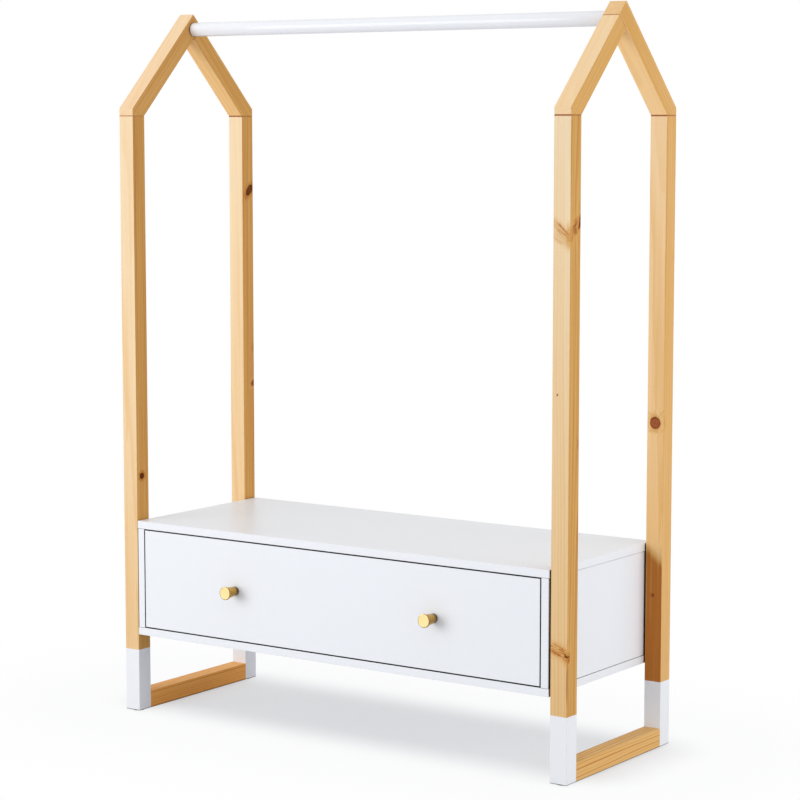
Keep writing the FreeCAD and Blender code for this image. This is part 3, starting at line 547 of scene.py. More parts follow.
def make_pine(name, stick):
    """Pine of one stick, cut from its own place in the tree.

    Warmth runs from 0, pale sapwood, to 1, brown late wood, and one ramp turns it into colour.
    """
    finish = finish_settings()
    paint = new_paint(name)
    place = paint.node("ShaderNodeMapping", {"vector_type": "TEXTURE"},
                       {"Vector": paint.place(), "Location": stick.centre, "Rotation": stick.turn})
    local = paint.split(place)
    shift = (stick.seed * 3.7, stick.seed * 1.9, stick.seed * 5.3)
    broad, wander, streak, crumble = (
        paint.swing(paint.stretch(place, cells, shift))
        for cells in (BROAD_CELLS, WANDER_CELLS, STREAK_CELLS, CRUMBLE_CELLS))
    fibre = paint.swing(paint.stretch(place, FIBRE_CELLS, shift), detail=3, rough=0.6)
    flames, knots, bend = [], [], 0.0
    for knot in stick.knots:
        wide, tall, near = knot_place(local, knot)
        if knot.tone == "flame":
            flames.append((knot, wide, tall, near))
        else:
            reach = paint.length(wide, tall) + crumble * 0.28
            knots.append((knot, wide, tall, reach, near))
            bend = reach.fall(0.8, 2.4) * near + bend
    late = late_wood(paint, stick, local, broad, wander, bend)
    normal = paint.split(paint.facing())
    # Faces along X take the side warmth: partly the other cut of the grain, partly painted shade
    sideways = abs(normal[0]).rise(0.55, 0.9)
    underside = (-1 * normal[2]).rise(0.3, 0.6) if stick.under else None
    warmth = face_warmth(stick, local, normal, sideways, underside, streak) + late * stick.rings
    warmth = warmth + streak * 0.27 + broad * 0.24 + fibre * 0.10 + bend * 0.2
    stops = ((0.0, finish.pine_pale), (0.33, finish.pine_honey),
             (0.75, finish.pine_amber), (1.0, finish.pine_brown))
    colour = paint.node("ShaderNodeValToRGB", {"stops": stops}, {"Fac": warmth})
    if stick.tint != NO_TINT:
        colour = paint.mix(1.0, colour, stick.tint, "MULTIPLY")
    # Painted light from below brightens the undersides
    if stick.under:
        colour = paint.mix(underside, colour, UNDERSIDE_LIGHT, "MULTIPLY")
    for flame in flames:
        colour = colour_flame(paint, colour, *flame, crumble)
    for knot in knots:
        colour = colour_knot(paint, colour, *knot, crumble)
    for seam in stick.seams:
        line = seam(paint, local) * (1 - sideways * 0.5) * stick.glue
        colour = paint.mix(line, colour, finish.knot_red)
    height = fibre * 0.35 + late * 0.5
    roughness = fibre * 0.16 + late * -0.06 + 0.46
    if stick.dipped:
        colour, roughness, height = dip_foot(
            paint, local[2], wander, fibre, colour, roughness, height)
    # Painted contact shadow where the stick stands near the floor
    if stick.dipped or stick.turn == LYING:
        sole_shadow = paint.height().fall(SOLE_HEIGHT + SOLE_DARK, SOLE_HEIGHT + SOLE_END)
        colour = paint.mix(sole_shadow * 0.8, colour, finish.joint_and_shade_dark)
    return paint.surface(Base_Color=colour, Roughness=roughness,
                         Normal=paint.bump(height, PINE_RELIEF, 0.55), Specular_IOR_Level=0.02)


def top_seam(paint, local):
    """Glue line at the top of a post."""
    return local[2].rise(EAVES_HEIGHT - 0.0018, EAVES_HEIGHT - 0.0010)


def eaves_seam(paint, local):
    """Glue line at the foot of a rafter."""
    return paint.height().fall(EAVES_HEIGHT + 0.0008, EAVES_HEIGHT + 0.0014)


def ridge_seam(paint, local):
    """Glue line where a rafter butts against the other one below the ridge."""
    return local[2].rise(-HALF_STICK - 0.0020, -HALF_STICK - 0.0012)


# Face, place across and up, half width and height, tilt, tone, strength and depth of each mark
LEFT_FRONT_KNOTS = (
    Knot("+x", -0.002, 0.411, 0.0050, 0.0052, -0.6),
    Knot("-x", 0.004, 0.742, 0.0075, 0.0085, 0.2, "live"),
    Knot("+y", -0.003, 0.268, 0.0055, 0.0060, -0.2),
)
LEFT_BACK_KNOTS = (
    Knot("+x", 0.0048, 0.8935, 0.0062, 0.0112, -0.75, "dead", 0.88),
    Knot("+x", 0.0130, 0.5465, 0.0110, 0.0065, 0.7, "flame", 1.5),
    Knot("+x", 0.0146, 0.5430, 0.0018, 0.0044, 0.0, "check", 0.7),
    Knot("+y", 0.002, 0.610, 0.0075, 0.0080, 0.1, "live"),
    Knot("-x", -0.004, 0.330, 0.0050, 0.0060),
)
RIGHT_FRONT_KNOTS = (
    Knot("+x", 0.0060, 0.8600, 0.0230, 0.0125, 0.62, "flame", 1.45),
    Knot("+x", 0.0145, 0.8680, 0.0170, 0.0060, 1.15, "flame", 2.0),
    Knot("+x", -0.0120, 0.8420, 0.0150, 0.0055, 1.25, "flame", 1.0),
    Knot("-y", 0.0000, 0.8525, 0.0235, 0.0070, -0.76, "flame", 0.78),
    Knot("-y", -0.0030, 0.8390, 0.0200, 0.0055, -0.50, "flame", 0.45),
    Knot("-y", -0.0005, 0.2110, 0.0220, 0.0105, -0.32, "flame", 0.95),
    Knot("+x", -0.0120, 0.2010, 0.0110, 0.0065, 1.4, "flame", 1.1),
    Knot("-y", 0.0128, 0.2040, 0.0022, 0.0044, 0.9, "check", 1.0),
    Knot("-y", 0.0108, 0.2075, 0.0011, 0.0044, 1.2, "check", 0.9),
    Knot("-y", 0.0146, 0.1640, 0.0011, 0.0400, 0.0, "check", 0.6, 0.002),
    Knot("-y", -0.0060, 0.6045, 0.0013, 0.0016, 0.0, "dead", 0.7),
    Knot("+y", 0.002, 0.530, 0.0070, 0.0085, 0.2, "live"),
)
RIGHT_BACK_KNOTS = (
    Knot("-y", -0.0004, 0.533, 0.0092, 0.0096, 0.1, "live"),
    Knot("-y", -0.0012, 0.2513, 0.0026, 0.0030, 0.0, "dead", 0.6),
    Knot("-y", -0.0110, 0.5480, 0.0008, 0.0042, 0.9, "check", 0.3),
    Knot("-y", 0.0105, 0.5485, 0.0008, 0.0048, -0.7, "check", 0.3),
    Knot("-y", 0.0000, 0.5520, 0.0008, 0.0030, 0.3, "check", 0.25),
    Knot("-y", -0.0090, 0.5195, 0.0009, 0.0034, -0.8, "check", 0.25),
    Knot("-y", 0.0040, 0.5170, 0.0009, 0.0034, 0.6, "check", 0.25),
    Knot("+x", -0.0136, 0.8700, 0.0016, 0.2600, 0.0, "check", 0.17, 0.002),
    Knot("+y", 0.003, 0.800, 0.0065, 0.0075),
)
RAFTER_KNOTS = (Knot("-x", 0.002, -0.11, 0.0060, 0.0070, 0.1),)
FRONT_FOOT = (FRAME_X, -POST_Y, 0)
BACK_FOOT = (FRAME_X, POST_Y, 0)
RIDGE = (FRAME_X, 0, RIDGE_HEIGHT - HALF_STICK * math.sqrt(2))
FLOOR_MIDDLE = (FRAME_X, 0, middle_of("right_floor_rail").z)
UPRIGHT = (0, 0, 0)
RISING_BACK = (math.radians(-45), 0, 0)
RISING_FRONT = (math.radians(45), 0, 0)
LYING = (math.radians(90), 0, 0)


def left(place):
    """A place of the right side frame, on the left one."""
    return (-place[0], *place[1:])


STICKS = {
    "left_front_post": Stick(
        left(FRONT_FOOT), UPRIGHT, pith=(0.012, 0.055), lean=(0.006, 0.010), seed=1.0,
        front=0.09, side=0.78, drift=0.38, tint=(0.975, 0.985, 1.0), glue=0.45,
        seams=(top_seam,), knots=LEFT_FRONT_KNOTS, dipped=True),
    "left_back_post": Stick(
        left(BACK_FOOT), UPRIGHT, pith=(-0.020, 0.060), lean=(0.004, -0.012), seed=2.0,
        front=0.05, side=0.75, drift=0.40,
        seams=(top_seam,), knots=LEFT_BACK_KNOTS, dipped=True),
    "right_front_post": Stick(
        FRONT_FOOT, UPRIGHT, pith=(-0.046, 0.034), lean=(0.010, 0.006), seed=3.0,
        front=0.11, side=0.76, drift=0.50, side_drift=-0.05, tint=(0.965, 0.995, 1.02),
        seams=(top_seam,), knots=RIGHT_FRONT_KNOTS, dipped=True),
    "right_back_post": Stick(
        BACK_FOOT, UPRIGHT, pith=(0.010, 0.064), lean=(-0.008, 0.010), seed=4.35,
        front=0.31, side=0.61, drift=0.36, side_drift=0.10, box_shadow=0.50,
        seams=(top_seam,), knots=RIGHT_BACK_KNOTS, dipped=True),
    "left_front_rafter": Stick(
        left(RIDGE), RISING_BACK, pith=(0.016, 0.052), lean=(0.02, 0.03), seed=5.0,
        front=0.16, side=0.73, rings=0.07, under=0.3, tint=(0.98, 0.955, 0.97), glue=0.45,
        seams=(eaves_seam,)),
    "left_back_rafter": Stick(
        left(RIDGE), RISING_FRONT, pith=(-0.030, 0.048), lean=(0.03, -0.02), seed=6.0,
        front=0.24, side=0.74, rings=0.07, under=0.15,
        seams=(eaves_seam, ridge_seam), knots=RAFTER_KNOTS),
    "right_front_rafter": Stick(
        RIDGE, RISING_BACK, pith=(0.020, 0.050), lean=(-0.02, 0.03), seed=7.0,
        front=0.20, side=0.68, rings=0.08, under=0.3,
        seams=(eaves_seam, ridge_seam), knots=RAFTER_KNOTS),
    "right_back_rafter": Stick(
        RIDGE, RISING_FRONT, pith=(-0.012, 0.058), lean=(0.02, 0.02), seed=8.0,
        front=0.40, side=0.67, rings=0.08, under=-0.12, seams=(eaves_seam,)),
    "left_floor_rail": Stick(
        left(FLOOR_MIDDLE), LYING, pith=(0.030, 0.090), lean=(0, 0), seed=9.0,
        front=0.50, side=0.73, rings=0.26, ring_width=0.0040, early=0.55, wave=0.010,
        tint=(1.26, 1.03, 0.80)),
    "right_floor_rail": Stick(
        FLOOR_MIDDLE, LYING, pith=(0.050, 0.085), lean=(0, 0.01), seed=10.5,
        front=0.56, side=0.59, rings=0.38, ring_width=0.0048, early=0.55, wave=0.022,
        tint=(1.01, 0.98, 0.86)),
}


class RACK_OT_side_frames(bpy.types.Operator):
    """Give every stick of the side frames its own pine, with white dipped feet on the posts"""

    bl_idname = "rack.side_frames"
    bl_label = "Side frames"

    def execute(self, context):
        for node, stick in STICKS.items():
            dress(make_pine(f"pine_{node}", stick), node)
        return {"FINISHED"}


# Paint, plastic and metal

SHADED_WHITE = (0.74, 0.745, 0.76)
# Painted shade in gaps: reach and samples of the ambient occlusion, and the shares of open sky
# between which the shade comes in
GAP_REACH = 0.012
GAP_SAMPLES = 12
GAP_DARK, GAP_CLEAR = 0.36, 0.56  # shares of open sky


def make_white_paint(name, stipple=0.00003, roughness=0.36, lines=None, gaps=False):
    """Satin white paint with a fine roller texture.

    Lines draw joints between boards, or the painted contact shadow at the rail's ends. Gaps take
    painted shade over what lies deep between two boards, read from the ambient occlusion, so it
    lifts when the drawer opens.
    """
    finish = finish_settings()
    paint = new_paint(name)
    place = paint.place()
    cloud = paint.swing(place, 9)
    grain = paint.swing(place, 1400)
    colour = paint.mix(cloud * 0.06 + grain * 0.03 + 0.04, finish.white_paint, SHADED_WHITE)
    if lines:
        colour = paint.mix(lines(*paint.split(place)), colour, finish.joint_and_shade_dark)
    # Painted shade deep in the gaps between boards
    if gaps:
        open_sky = paint.node("ShaderNodeAmbientOcclusion", {"samples": GAP_SAMPLES},
                              {"Distance": GAP_REACH}, "AO")
        colour = paint.mix(open_sky.fall(GAP_DARK, GAP_CLEAR), colour, finish.joint_and_shade_dark)
    return paint.surface(Base_Color=colour, Roughness=cloud * 0.08 + grain * 0.1 + roughness,
                         Normal=paint.bump(grain, stipple, 0.6), Specular_IOR_Level=0.3)


def panel_joints(x, y, z):
    """Joints above and below the side panels of the box."""
    joint = abs(abs(z - BAY_MIDDLE) - BAY_HALF_HEIGHT).fall(0.0003, 0.0006)
    return joint * abs(x).rise(BAY_HALF_WIDTH - 0.0005, BAY_HALF_WIDTH) * 0.55


def rail_end_shadow(x, y, z):
    """Painted contact shadow where the rail meets the rafters."""
    return abs(x).rise(RAIL_HIGH.x - 0.0026, RAIL_HIGH.x - 0.0014) * 0.9


def make_hardboard():
    """Thin white board with the faint mesh of its pressed side."""
    paint = new_paint("white_hardboard")
    place = paint.place()
    cloud = paint.swing(place, 14)
    mesh_grain = paint.swing(place, 700, 3)
    shade = cloud * 0.1 + mesh_grain * 0.12 + 0.1
    colour = paint.mix(shade, (0.80, 0.80, 0.79), (0.60, 0.59, 0.57))
    return paint.surface(Base_Color=colour, Roughness=mesh_grain * 0.15 + 0.55,
                         Normal=paint.bump(mesh_grain, 0.00005))


def make_brass():
    """Brass with fine rings from the lathe, a bright face, a neck set darker as painted shade, and
    painted shade at its base and round the rim of the face.

    Both knobs share it, because it measures from the middle of the rack.
    """
    finish = finish_settings()
    paint = new_paint("turned_brass")
    x, y, z = paint.split(paint.place())
    radius = paint.length(abs(x) - (KNOB_LOW.x + KNOB_RIM), z - (KNOB_LOW.z + KNOB_RIM))
    rings = paint.swing(paint.join(radius * 5200, y * 3800))
    cloud = paint.swing(paint.place(), 160)
    face = y.fall(KNOB_LOW.y + 0.0004, KNOB_LOW.y + 0.0009)
    front = y.fall(KNOB_LOW.y + 0.0011, KNOB_LOW.y + 0.0018)
    # Painted shade: a ring round the rim of the face, and the neck darkening towards its base
    edge = radius.rise(KNOB_RIM - 0.0013, KNOB_RIM - 0.0007) * front
    base = y.rise(KNOB_HIGH.y - 0.010, KNOB_HIGH.y - 0.0005)
    colour = paint.mix(face, finish.brass, finish.brass_face)
    colour = paint.mix(rings * 0.2 + cloud * 0.25 + 0.06, colour, finish.brass_rings_and_shade)
    colour = paint.mix(base.most(edge * 0.75), colour, finish.brass_rings_and_shade)
    return paint.surface(Base_Color=colour, Metallic=1.0,
                         Roughness=rings * 0.14 + cloud * 0.08 + 0.27,
                         Normal=paint.bump(rings, 0.00001, 0.5))


def make_metal(name, colour, shade, roughness):
    """Plain metal with fine scratches along the rack."""
    paint = new_paint(name)
    place = paint.place()
    scratch = paint.swing(paint.stretch(place, (300, 2400, 2400)), detail=3)
    cloud = paint.swing(place, 220)
    tint = paint.mix(scratch * 0.5 + cloud * 0.5 + 0.4, colour, shade)
    return paint.surface(Base_Color=tint, Metallic=1.0,
                         Roughness=scratch * 0.2 + cloud * 0.1 + roughness,
                         Normal=paint.bump(scratch, 0.00001, 0.5))


def make_plastic(name, colour, shade, roughness):
    """Moulded plastic or powder coat with a fine grain."""
    paint = new_paint(name)
    place = paint.place()
    grain = paint.swing(place, 2200)
    cloud = paint.swing(place, 60)
    tint = paint.mix(grain * 0.3 + cloud * 0.5 + 0.3, colour, shade)
    return paint.surface(Base_Color=tint, Roughness=grain * 0.12 + roughness,
                         Normal=paint.bump(grain, 0.00002))


def make_dowel_wood():
    """Beech with short flecks."""
    paint = new_paint("beech_dowel")
    fleck = paint.swing(paint.stretch(paint.place(), (900, 900, 120)))
    colour = paint.mix(fleck * 0.8 + 0.4, (0.70, 0.48, 0.28), (0.55, 0.33, 0.17))
    return paint.surface(Base_Color=colour, Roughness=fleck * 0.1 + 0.6,
                         Normal=paint.bump(fleck, 0.00005))


# Modelling helpers

SMOOTH_ANGLE = math.radians(35)
WELD = 1e-7
CAD_WELD = 1e-6
FACING = 0.9  # cosine past which a face looks a given way
LONG_WAYS = (0, math.radians(90), 0)
OUT_OF_FRONT = (math.radians(90), 0, 0)


def deselect():
    """Leave edit mode and deselect everything."""
    if bpy.context.object and bpy.context.object.mode != "OBJECT":
        bpy.ops.object.mode_set(mode="OBJECT")
    bpy.ops.object.select_all(action="DESELECT")


def take_up(name):
    """Name the primitive that was just added and open it for editing."""
    piece = bpy.context.object
    piece.name = name
    piece.data.name = name
    bpy.ops.object.mode_set(mode="EDIT")
    bpy.ops.mesh.select_mode(type="VERT")
    return piece


def lay_down(piece, material):
    """Close the mesh, put the piece's place into it, smooth it by angle and coat it."""
    bpy.ops.mesh.select_all(action="SELECT")
    bpy.ops.mesh.remove_doubles(threshold=WELD)
    bpy.ops.mesh.normals_make_consistent(inside=False)
    bpy.ops.object.mode_set(mode="OBJECT")
    bpy.ops.object.transform_apply(location=True, rotation=True, scale=True)
    bpy.ops.object.shade_smooth_by_angle(angle=SMOOTH_ANGLE)
    coat(piece, material)
    return piece


def like_ends(half, length):
    """Profile of a piece with two like ends: one half, its middle and the half turned round."""
    middle = (half[-1][0], length * 0.5)
    return (*half, middle, *((radius, length - height) for radius, height in reversed(half)))


def turn_piece(name, base, turn, profile, material, segments=96, hollow=False):
    """A turned piece: a ring is extruded along a profile of (radius, height) steps from its base.

    The last ring of a hollow one is bridged to its first; a solid one is capped.
    """
    deselect()
    rotation = Euler(turn)
    axis = rotation.to_matrix() @ Vector((0, 0, 1))
    base = Vector(base)
    radius, height = profile[0]
    fill = "NOTHING" if hollow else "NGON"
    bpy.ops.mesh.primitive_circle_add(vertices=segments, radius=radius, fill_type=fill,
                                      location=base + axis * height, rotation=rotation)
    piece = take_up(name)
    bpy.ops.mesh.select_all(action="SELECT")
    for next_radius, next_height in profile[1:]:
        move = {"value": axis * (next_height - height)}
        if hollow:
            bpy.ops.mesh.extrude_edges_move(TRANSFORM_OT_translate=move)
        else:
            bpy.ops.mesh.extrude_region_move(TRANSFORM_OT_translate=move)
        scale = next_radius / radius
        bpy.ops.transform.resize(value=(scale, scale, scale),
                                 center_override=base + axis * next_height)
        radius, height = next_radius, next_height
    bpy.ops.mesh.select_all(action="DESELECT")
    bpy.ops.mesh.select_non_manifold()
    if hollow:
        bpy.ops.mesh.bridge_edge_loops()
    else:
        bpy.ops.mesh.edge_face_add()
    return lay_down(piece, material)


def pick_faces(piece, wanted):
    """Select the faces of a piece in edit mode by a test on each face."""
    bpy.ops.mesh.select_mode(type="FACE")
    bpy.ops.mesh.select_all(action="DESELECT")
    bpy.ops.object.mode_set(mode="OBJECT")
    for face in piece.data.polygons:
        face.select = wanted(face)
    bpy.ops.object.mode_set(mode="EDIT")


def looks_down(face):
    return face.normal.z < -FACING


def hex_tool(width, depth):
    """Shape of a hexagon socket, opening upwards at the origin, with a drilled point below."""
    point = 0.2 * width
    deselect()
    bpy.ops.mesh.primitive_cylinder_add(vertices=6, radius=width / math.sqrt(3), depth=2 * depth)
    tool = take_up("hex_tool")
    pick_faces(tool, looks_down)
    bpy.ops.mesh.extrude_region_move(TRANSFORM_OT_translate={"value": (0, 0, -point)})
    bpy.ops.transform.resize(value=(0.1, 0.1, 1), center_override=(0, 0, -depth - point))
    bpy.ops.object.mode_set(mode="OBJECT")
    return tool


def cross_tool(width, slot, depth):
    """Shape of a cross recess, opening upwards at the origin and tapered below."""
    deselect()
    bpy.ops.mesh.primitive_cube_add(size=slot)
    tool = take_up("cross_tool")
    bpy.ops.transform.resize(value=(1, 1, 2 * depth / slot), center_override=(0, 0, 0))
    for way in (Vector((1, 0, 0)), Vector((-1, 0, 0)), Vector((0, 1, 0)), Vector((0, -1, 0))):
        def starts_arm(face):
            return (face.normal.dot(way) > FACING and face.center.dot(way) < 0.6 * slot
                    and face.center.cross(way).length < 0.1 * slot)

        pick_faces(tool, starts_arm)
        bpy.ops.mesh.extrude_region_move(TRANSFORM_OT_translate={"value": way * (width - slot) / 2})
    pick_faces(tool, looks_down)
    bpy.ops.transform.resize(value=(0.5, 0.5, 1), center_override=(0, 0, -depth))
    bpy.ops.object.mode_set(mode="OBJECT")
    return tool


def join_all(pieces):
    """Join pieces into the first of them."""
    deselect()
    for piece in pieces:
        piece.select_set(True)
    bpy.context.view_layer.objects.active = pieces[0]
    if len(pieces) > 1:
        bpy.ops.object.join()
    return pieces[0]


def copy_at(piece, matrix):
    """A copy of a piece with its own mesh, moved by a matrix."""
    copy = bpy.data.objects.new(piece.name, piece.data.copy())
    bpy.context.scene.collection.objects.link(copy)
    copy.data.transform(matrix)
    return copy


def recess_heads(node, body, tool, facing, material):
    """Sink a driver's recess into every head of a node; facing gives the way a head looks."""
    piece = copy_at(NODES[node], Matrix.Identity(4))
    join_all([piece])
    take_up(f"{node}_driven")
    bpy.ops.mesh.select_all(action="SELECT")
    bpy.ops.mesh.remove_doubles(threshold=CAD_WELD)
    bpy.ops.mesh.separate(type="LOOSE")
    bpy.ops.object.mode_set(mode="OBJECT")
    parts = [piece, *(part for part in bpy.context.selected_objects if part != piece)]
    tools = []
    for part in parts:
        corners = [vertex.co for vertex in part.data.vertices]
        low = Vector(min(corner[axis] for corner in corners) for axis in range(3))
        high = Vector(max(corner[axis] for corner in corners) for axis in range(3))
        middle = (low + high) / 2
        way = facing(middle)
        head = middle + way * abs((high - low).dot(way)) / 2
        turn = way.to_track_quat("Z", "Y").to_matrix().to_4x4()
        tools.append(copy_at(tool, Matrix.Translation(head) @ turn))
    cutter = join_all(tools)
    join_all(parts)
    recess = piece.modifiers.new("recess", "BOOLEAN")
    recess.operation = "DIFFERENCE"
    recess.solver = "EXACT"
    recess.object = cutter
    bpy.ops.object.modifier_apply(modifier="recess")
    for used in (cutter, tool):
        bpy.data.objects.remove(used)
    bpy.ops.object.shade_smooth_by_angle(angle=SMOOTH_ANGLE)
    coat(piece, material)
    seat(piece, body, SLOTS[node], node)


def to_middle(place):
    """The way a head on a side wall looks: into the box."""
    return Vector((-math.copysign(1, place.x), 0, 0))


def to_back(place):
    return Vector((0, 1, 0))


def to_floor(place):
    return Vector((0, 0, -1))


def seat(piece, body, slot, *nodes):
    """Let a piece ride its body in place of its CAD nodes."""
    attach(piece, body)
    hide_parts(*nodes)


# Rail, box and drawer

class RACK_OT_hanging_rail(bpy.types.Operator):
    """Turn the round hanging rail and paint it white"""

    bl_idname = "rack.hanging_rail"
    bl_label = "Hanging rail"

    def execute(self, context):
        radius = (RAIL_HIGH.z - RAIL_LOW.z) / 2
        length = RAIL_HIGH.x - RAIL_LOW.x
        base = (RAIL_LOW.x, 0, middle_of("hanging_rail").z)
        bevel = 0.001
        ease = bevel * 0.3
        profile = like_ends((
            (radius - bevel, 0), (radius - ease, ease), (radius, bevel), (radius, length * 0.25),
        ), length)
        # The rail's paint carries a painted contact shadow at both ends
        paint = make_white_paint("rail_paint", stipple=0.000002, roughness=0.15, lines=rail_end_shadow)
        rail = turn_piece("painted_rail", base, LONG_WAYS, profile, paint)
        seat(rail, "rack", "white_rail", "hanging_rail")
        return {"FINISHED"}


class RACK_OT_box_panels(bpy.types.Operator):
    """Paint the panels of the box and finish the thin boards of box and drawer"""

    bl_idname = "rack.box_panels"
    bl_label = "Box panels"

    def execute(self, context):
        # The box panels take painted shade in their gaps and dark joints above and below the side
        # panels
        paint = make_white_paint("box_paint", lines=panel_joints, gaps=True)
        dress(paint, "top_panel", "bottom_panel", "left_side_panel", "right_side_panel")
        dress_slot("thin_board", make_hardboard())
        return {"FINISHED"}


class RACK_OT_drawer_boards(bpy.types.Operator):
    """Paint the boards of the drawer"""

    bl_idname = "rack.drawer_boards"
    bl_label = "Drawer boards"

    def execute(self, context):
        # The drawer front takes painted shade in the gaps round it
        dress(make_white_paint("front_paint", gaps=True), "drawer_front")
        paint = make_white_paint("drawer_paint")
        dress(paint, "left_drawer_side", "right_drawer_side", "drawer_back")
        return {"FINISHED"}


class RACK_OT_knobs(bpy.types.Operator):
    """Turn the two brass knobs"""

    bl_idname = "rack.knobs"
    bl_label = "Knobs"

    def execute(self, context):
        brass = make_brass()
        rim = KNOB_RIM
        front = KNOB_HIGH.y - KNOB_LOW.y
        disc = 0.0035
        back = front - disc
        foot = 0.00775
        neck = 0.0095
        ease, corner = 0.0007, 0.0002
        groove = 0.00022
        # Foot, neck and its hollow, back and front edge of the disc, groove, dished face
        profile = (
            (foot - 0.0006, 0.0), (foot - corner, corner), (foot, 0.0006),
            (foot + (neck - foot) * 0.5, back * 0.5),
            (neck, back - 0.0009), (neck + 0.0003, back - 0.0003), (neck + 0.0009, back),
            (rim - ease, back), (rim - corner, back + corner), (rim, back + ease),
            (rim, front - ease), (rim - corner, front - corner), (rim - ease, front),
            (rim - 0.0014, front), (rim - 0.00155, front - groove),
            (rim - 0.0018, front - groove), (rim - 0.00195, front),
            (rim * 0.5, front - 0.00005), (rim * 0.1, front - 0.00007),
        )
        for side in ("left", "right"):
            middle = middle_of(f"{side}_knob")
            base = (middle.x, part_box(f"{side}_knob")[1].y, middle.z)
            knob = turn_piece(f"{side}_turned_knob", base, OUT_OF_FRONT, profile, brass)
            seat(knob, "drawer", "brass", f"{side}_knob")
        return {"FINISHED"}


# Runners and fixings

ROLLERS = [f"{side}_{carrier}_roller"
           for side in ("left", "right") for carrier in ("cabinet", "drawer")]


class RACK_OT_runners(bpy.types.Operator):
    """Coat the runners and turn their rollers"""

    bl_idname = "rack.runners"
    bl_label = "Runners"

    def execute(self, context):
        powder = make_plastic("white_powder_coat", (0.80, 0.80, 0.79), (0.66, 0.66, 0.65), 0.42)
        dress_slot("coated_steel", powder)
        nylon = make_plastic("roller_nylon", (0.74, 0.74, 0.71), (0.58, 0.58, 0.55), 0.45)
        bore = 0.00205
        hub = 0.0036
        groove = 0.0007
        for node in ROLLERS:
            low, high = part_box(node)
            middle = middle_of(node)
            rim = (high.z - low.z) / 2
            profile = like_ends((
                (bore, 0), (hub, 0), (hub + 0.0003, groove), (rim - 0.0022, groove),
                (rim - 0.0019, 0), (rim - 0.0006, 0), (rim - 0.00015, 0.0002), (rim, 0.0007),
            ), high.x - low.x)
            roller = turn_piece(f"{node}_turned", (low.x, middle.y, middle.z), LONG_WAYS, profile,
                                nylon, segments=64, hollow=True)
            seat(roller, node, "roller_plastic", node)
        return {"FINISHED"}


class RACK_OT_fixings(bpy.types.Operator):
    """Finish the screws, bolts, locks, inserts, dowels and glides"""

    bl_idname = "rack.fixings"
    bl_label = "Fixings"

    def execute(self, context):
        steel = make_metal("zinc_plate", (0.66, 0.66, 0.67), (0.48, 0.48, 0.50), 0.32)
        zinc = make_metal("die_cast_zinc", (0.55, 0.56, 0.58), (0.40, 0.41, 0.43), 0.42)
        brass = make_metal("insert_brass", (0.80, 0.60, 0.28), (0.58, 0.40, 0.16), 0.35)
        dark = make_plastic("dark_glide", (0.03, 0.03, 0.032), (0.015, 0.015, 0.015), 0.6)
        dress_slot("steel", steel)
        dress_slot("zinc", zinc)
        dress_slot("dowel_wood", make_dowel_wood())
        dress(brass, "threaded_inserts")
        dress_slot("dark_plastic", dark)
        socket = hex_tool(width=0.004, depth=0.0020)
        recess_heads("frame_bolts", "rack", socket, to_middle, steel)
        for node, body, facing, metal, width, slot, depth in (
            ("cam_locks", "rack", to_middle, zinc, 0.008, 0.0016, 0.0014),
            ("cabinet_runner_screws", "rack", to_middle, steel, 0.0042, 0.0010, 0.0010),
            ("drawer_runner_screws", "drawer", to_floor, steel, 0.0042, 0.0010, 0.0010),
            ("knob_screws", "drawer", to_back, steel, 0.0048, 0.0011, 0.0014),
        ):
            recess_heads(node, body, cross_tool(width, slot, depth), facing, metal)
        return {"FINISHED"}


# Stage

FLOOR_COLOUR = (0.64, 0.66, 0.705)
ROOM_COLOUR = (0.97, 0.985, 1.0)
FLOOR_SIZE = 60
FLOOR_DROP = 0.0002
# The shadow under the rack, partly rendered and partly painted, since less of the floor's white
# glow shows inside this soft rectangle; and how far round it the floor turns white
SHADOW_HALF_WIDTH = 0.41
SHADOW_MIDDLE = 0.025
SHADOW_HALF_DEPTH = 0.075
SHADOW_EDGE = 0.14
GLOW_START = 0.05
GLOW_END = 0.6
# Share of plain white glow under the rack, and the share added beyond; the smaller share under the
# rack paints its grey
PLAIN_UNDER_RACK = 0.532
PLAIN_BEYOND = 0.468
SENSOR_WIDTH = 36
LAMP_AIM = Vector((0, 0, 0.55))
# Place and size of each lamp, and the setting of its power
LAMPS = {
    "key_lamp": ((-2.2, -3.9, 1.2), 3.0, "key_power"),
    "side_lamp": ((2.4, 0.4, 0.75), 1.7, "side_power"),
    "top_lamp": ((0.2, -0.2, 3.4), 2.6, "top_power"),
}


def seen_plainly(paint):
    """1 for rays of the camera, of mirrors and of clear glass, which see the studio as white."""
    rays = [paint.node("ShaderNodeLightPath", out=f"Is {kind} Ray")
            for kind in ("Camera", "Glossy", "Transmission")]
    return rays[0].most(rays[1]).most(rays[2])


def make_floor_paint():
    """Pale floor with the rendered shadow under the rack over a painted grey patch there, turning
    plain white away from it.
    """
    paint = new_paint("studio_floor")
    x, y, _ = paint.split(paint.place())
    aside = (abs(x) - SHADOW_HALF_WIDTH).most(0.0)
    ahead = (abs(y - SHADOW_MIDDLE) - SHADOW_HALF_DEPTH).most(0.0)
    beyond = paint.length(aside, ahead)
    away = beyond.rise(0.0, SHADOW_EDGE) * 0.85 + beyond.rise(GLOW_START, GLOW_END) * 0.15
    matt = paint.node("ShaderNodeBsdfDiffuse", None, {"Color": solid(FLOOR_COLOUR)})
    factor = seen_plainly(paint) * (away * PLAIN_BEYOND + PLAIN_UNDER_RACK)
    return paint.close(paint.blend(factor, matt, paint.light("ShaderNodeEmission")))


def make_room(strength):
    """An even white room that the camera and mirror-like surfaces see as plain white."""
    paint = Paint(bpy.data.worlds.new("white_room"))
    room = paint.light("ShaderNodeBackground", ROOM_COLOUR, strength)
    plain = paint.light("ShaderNodeBackground")
    return paint.close(paint.blend(seen_plainly(paint), room, plain), "ShaderNodeOutputWorld")


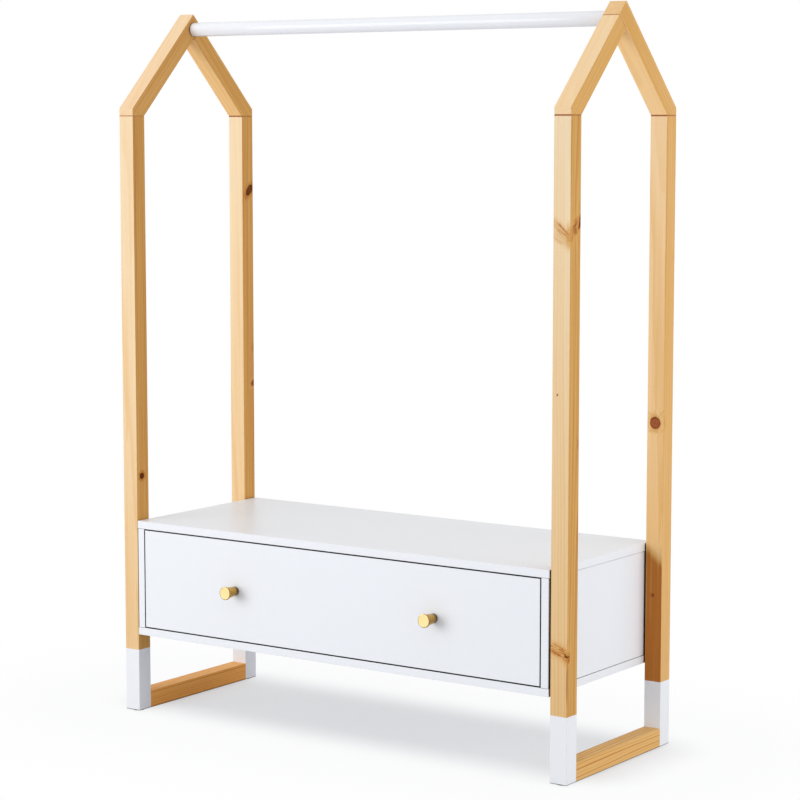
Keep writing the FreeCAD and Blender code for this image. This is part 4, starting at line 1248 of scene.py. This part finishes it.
def set_up(name, data, place, look):
    """Stand a lamp or a camera at a place, looking along a direction."""
    holder = bpy.data.objects.new(name, data)
    bpy.context.scene.collection.objects.link(holder)
    holder.location = place
    holder.rotation_euler = look.to_track_quat("-Z", "Y").to_euler()
    return holder


class RACK_OT_stage(bpy.types.Operator):
    """Set up the pale floor, the soft lamps and the camera"""

    bl_idname = "rack.stage"
    bl_label = "Stage"

    def execute(self, context):
        stage = context.scene.rack_stage
        deselect()
        bpy.ops.mesh.primitive_plane_add(size=FLOOR_SIZE, location=(0, 0, -FLOOR_DROP))
        floor = context.object
        floor.name = "studio_floor"
        bpy.ops.object.transform_apply(location=True, rotation=True, scale=True)
        coat(floor, make_floor_paint())
        context.scene.world = make_room(stage.sky)
        for name, (place, size, power) in LAMPS.items():
            lamp = bpy.data.lights.new(name, "AREA")
            lamp.shape = "SQUARE"
            lamp.size = size
            lamp.energy = getattr(stage, power)
            set_up(name, lamp, place, LAMP_AIM - Vector(place))
        camera = bpy.data.cameras.new("photo_camera")
        camera.sensor_width = SENSOR_WIDTH
        camera.lens = stage.lens
        turn, tilt = stage.azimuth, stage.pitch
        level = math.cos(tilt)
        ahead = Vector((-math.sin(turn) * level, math.cos(turn) * level, -math.sin(tilt)))
        aside = Vector((math.cos(turn), math.sin(turn), 0))
        target = Vector((0, 0, stage.aim_height)) + aside * stage.aim_side
        place = target - ahead * stage.distance
        context.scene.camera = set_up("photo_camera", camera, place, ahead)
        context.scene.view_settings.view_transform = "Standard"
        return {"FINISHED"}


class RACK_PT_panel(bpy.types.Panel):
    """Lists the steps that dress the rack"""

    bl_idname = "RACK_PT_panel"
    bl_label = "Clothing rack"
    bl_space_type = "VIEW_3D"
    bl_region_type = "UI"
    bl_category = "Rack"

    def draw(self, context):
        for step in STEPS:
            self.layout.operator(step.bl_idname)
        for group in (context.scene.rack_finish, context.scene.rack_stage):
            for key in group.bl_rna.properties.keys():
                if key not in {"rna_type", "name"}:
                    self.layout.prop(group, key)


STEPS = (
    RACK_OT_stage,
    RACK_OT_side_frames,
    RACK_OT_hanging_rail,
    RACK_OT_box_panels,
    RACK_OT_drawer_boards,
    RACK_OT_knobs,
    RACK_OT_runners,
    RACK_OT_fixings,
)
CLASSES = (RackFinish, RackStage, *STEPS, RACK_PT_panel)


def register():
    for item in CLASSES:
        bpy.utils.register_class(item)
    bpy.types.Scene.rack_finish = PointerProperty(type=RackFinish)
    bpy.types.Scene.rack_stage = PointerProperty(type=RackStage)


def unregister():
    del bpy.types.Scene.rack_stage
    del bpy.types.Scene.rack_finish
    for item in reversed(CLASSES):
        bpy.utils.unregister_class(item)


def main():
    register()
    bpy.ops.rack.stage()
    bpy.ops.rack.side_frames()
    bpy.ops.rack.hanging_rail()
    bpy.ops.rack.box_panels()
    bpy.ops.rack.drawer_boards()
    bpy.ops.rack.knobs()
    bpy.ops.rack.runners()
    bpy.ops.rack.fixings()


if __name__ == "__main__":
    main()
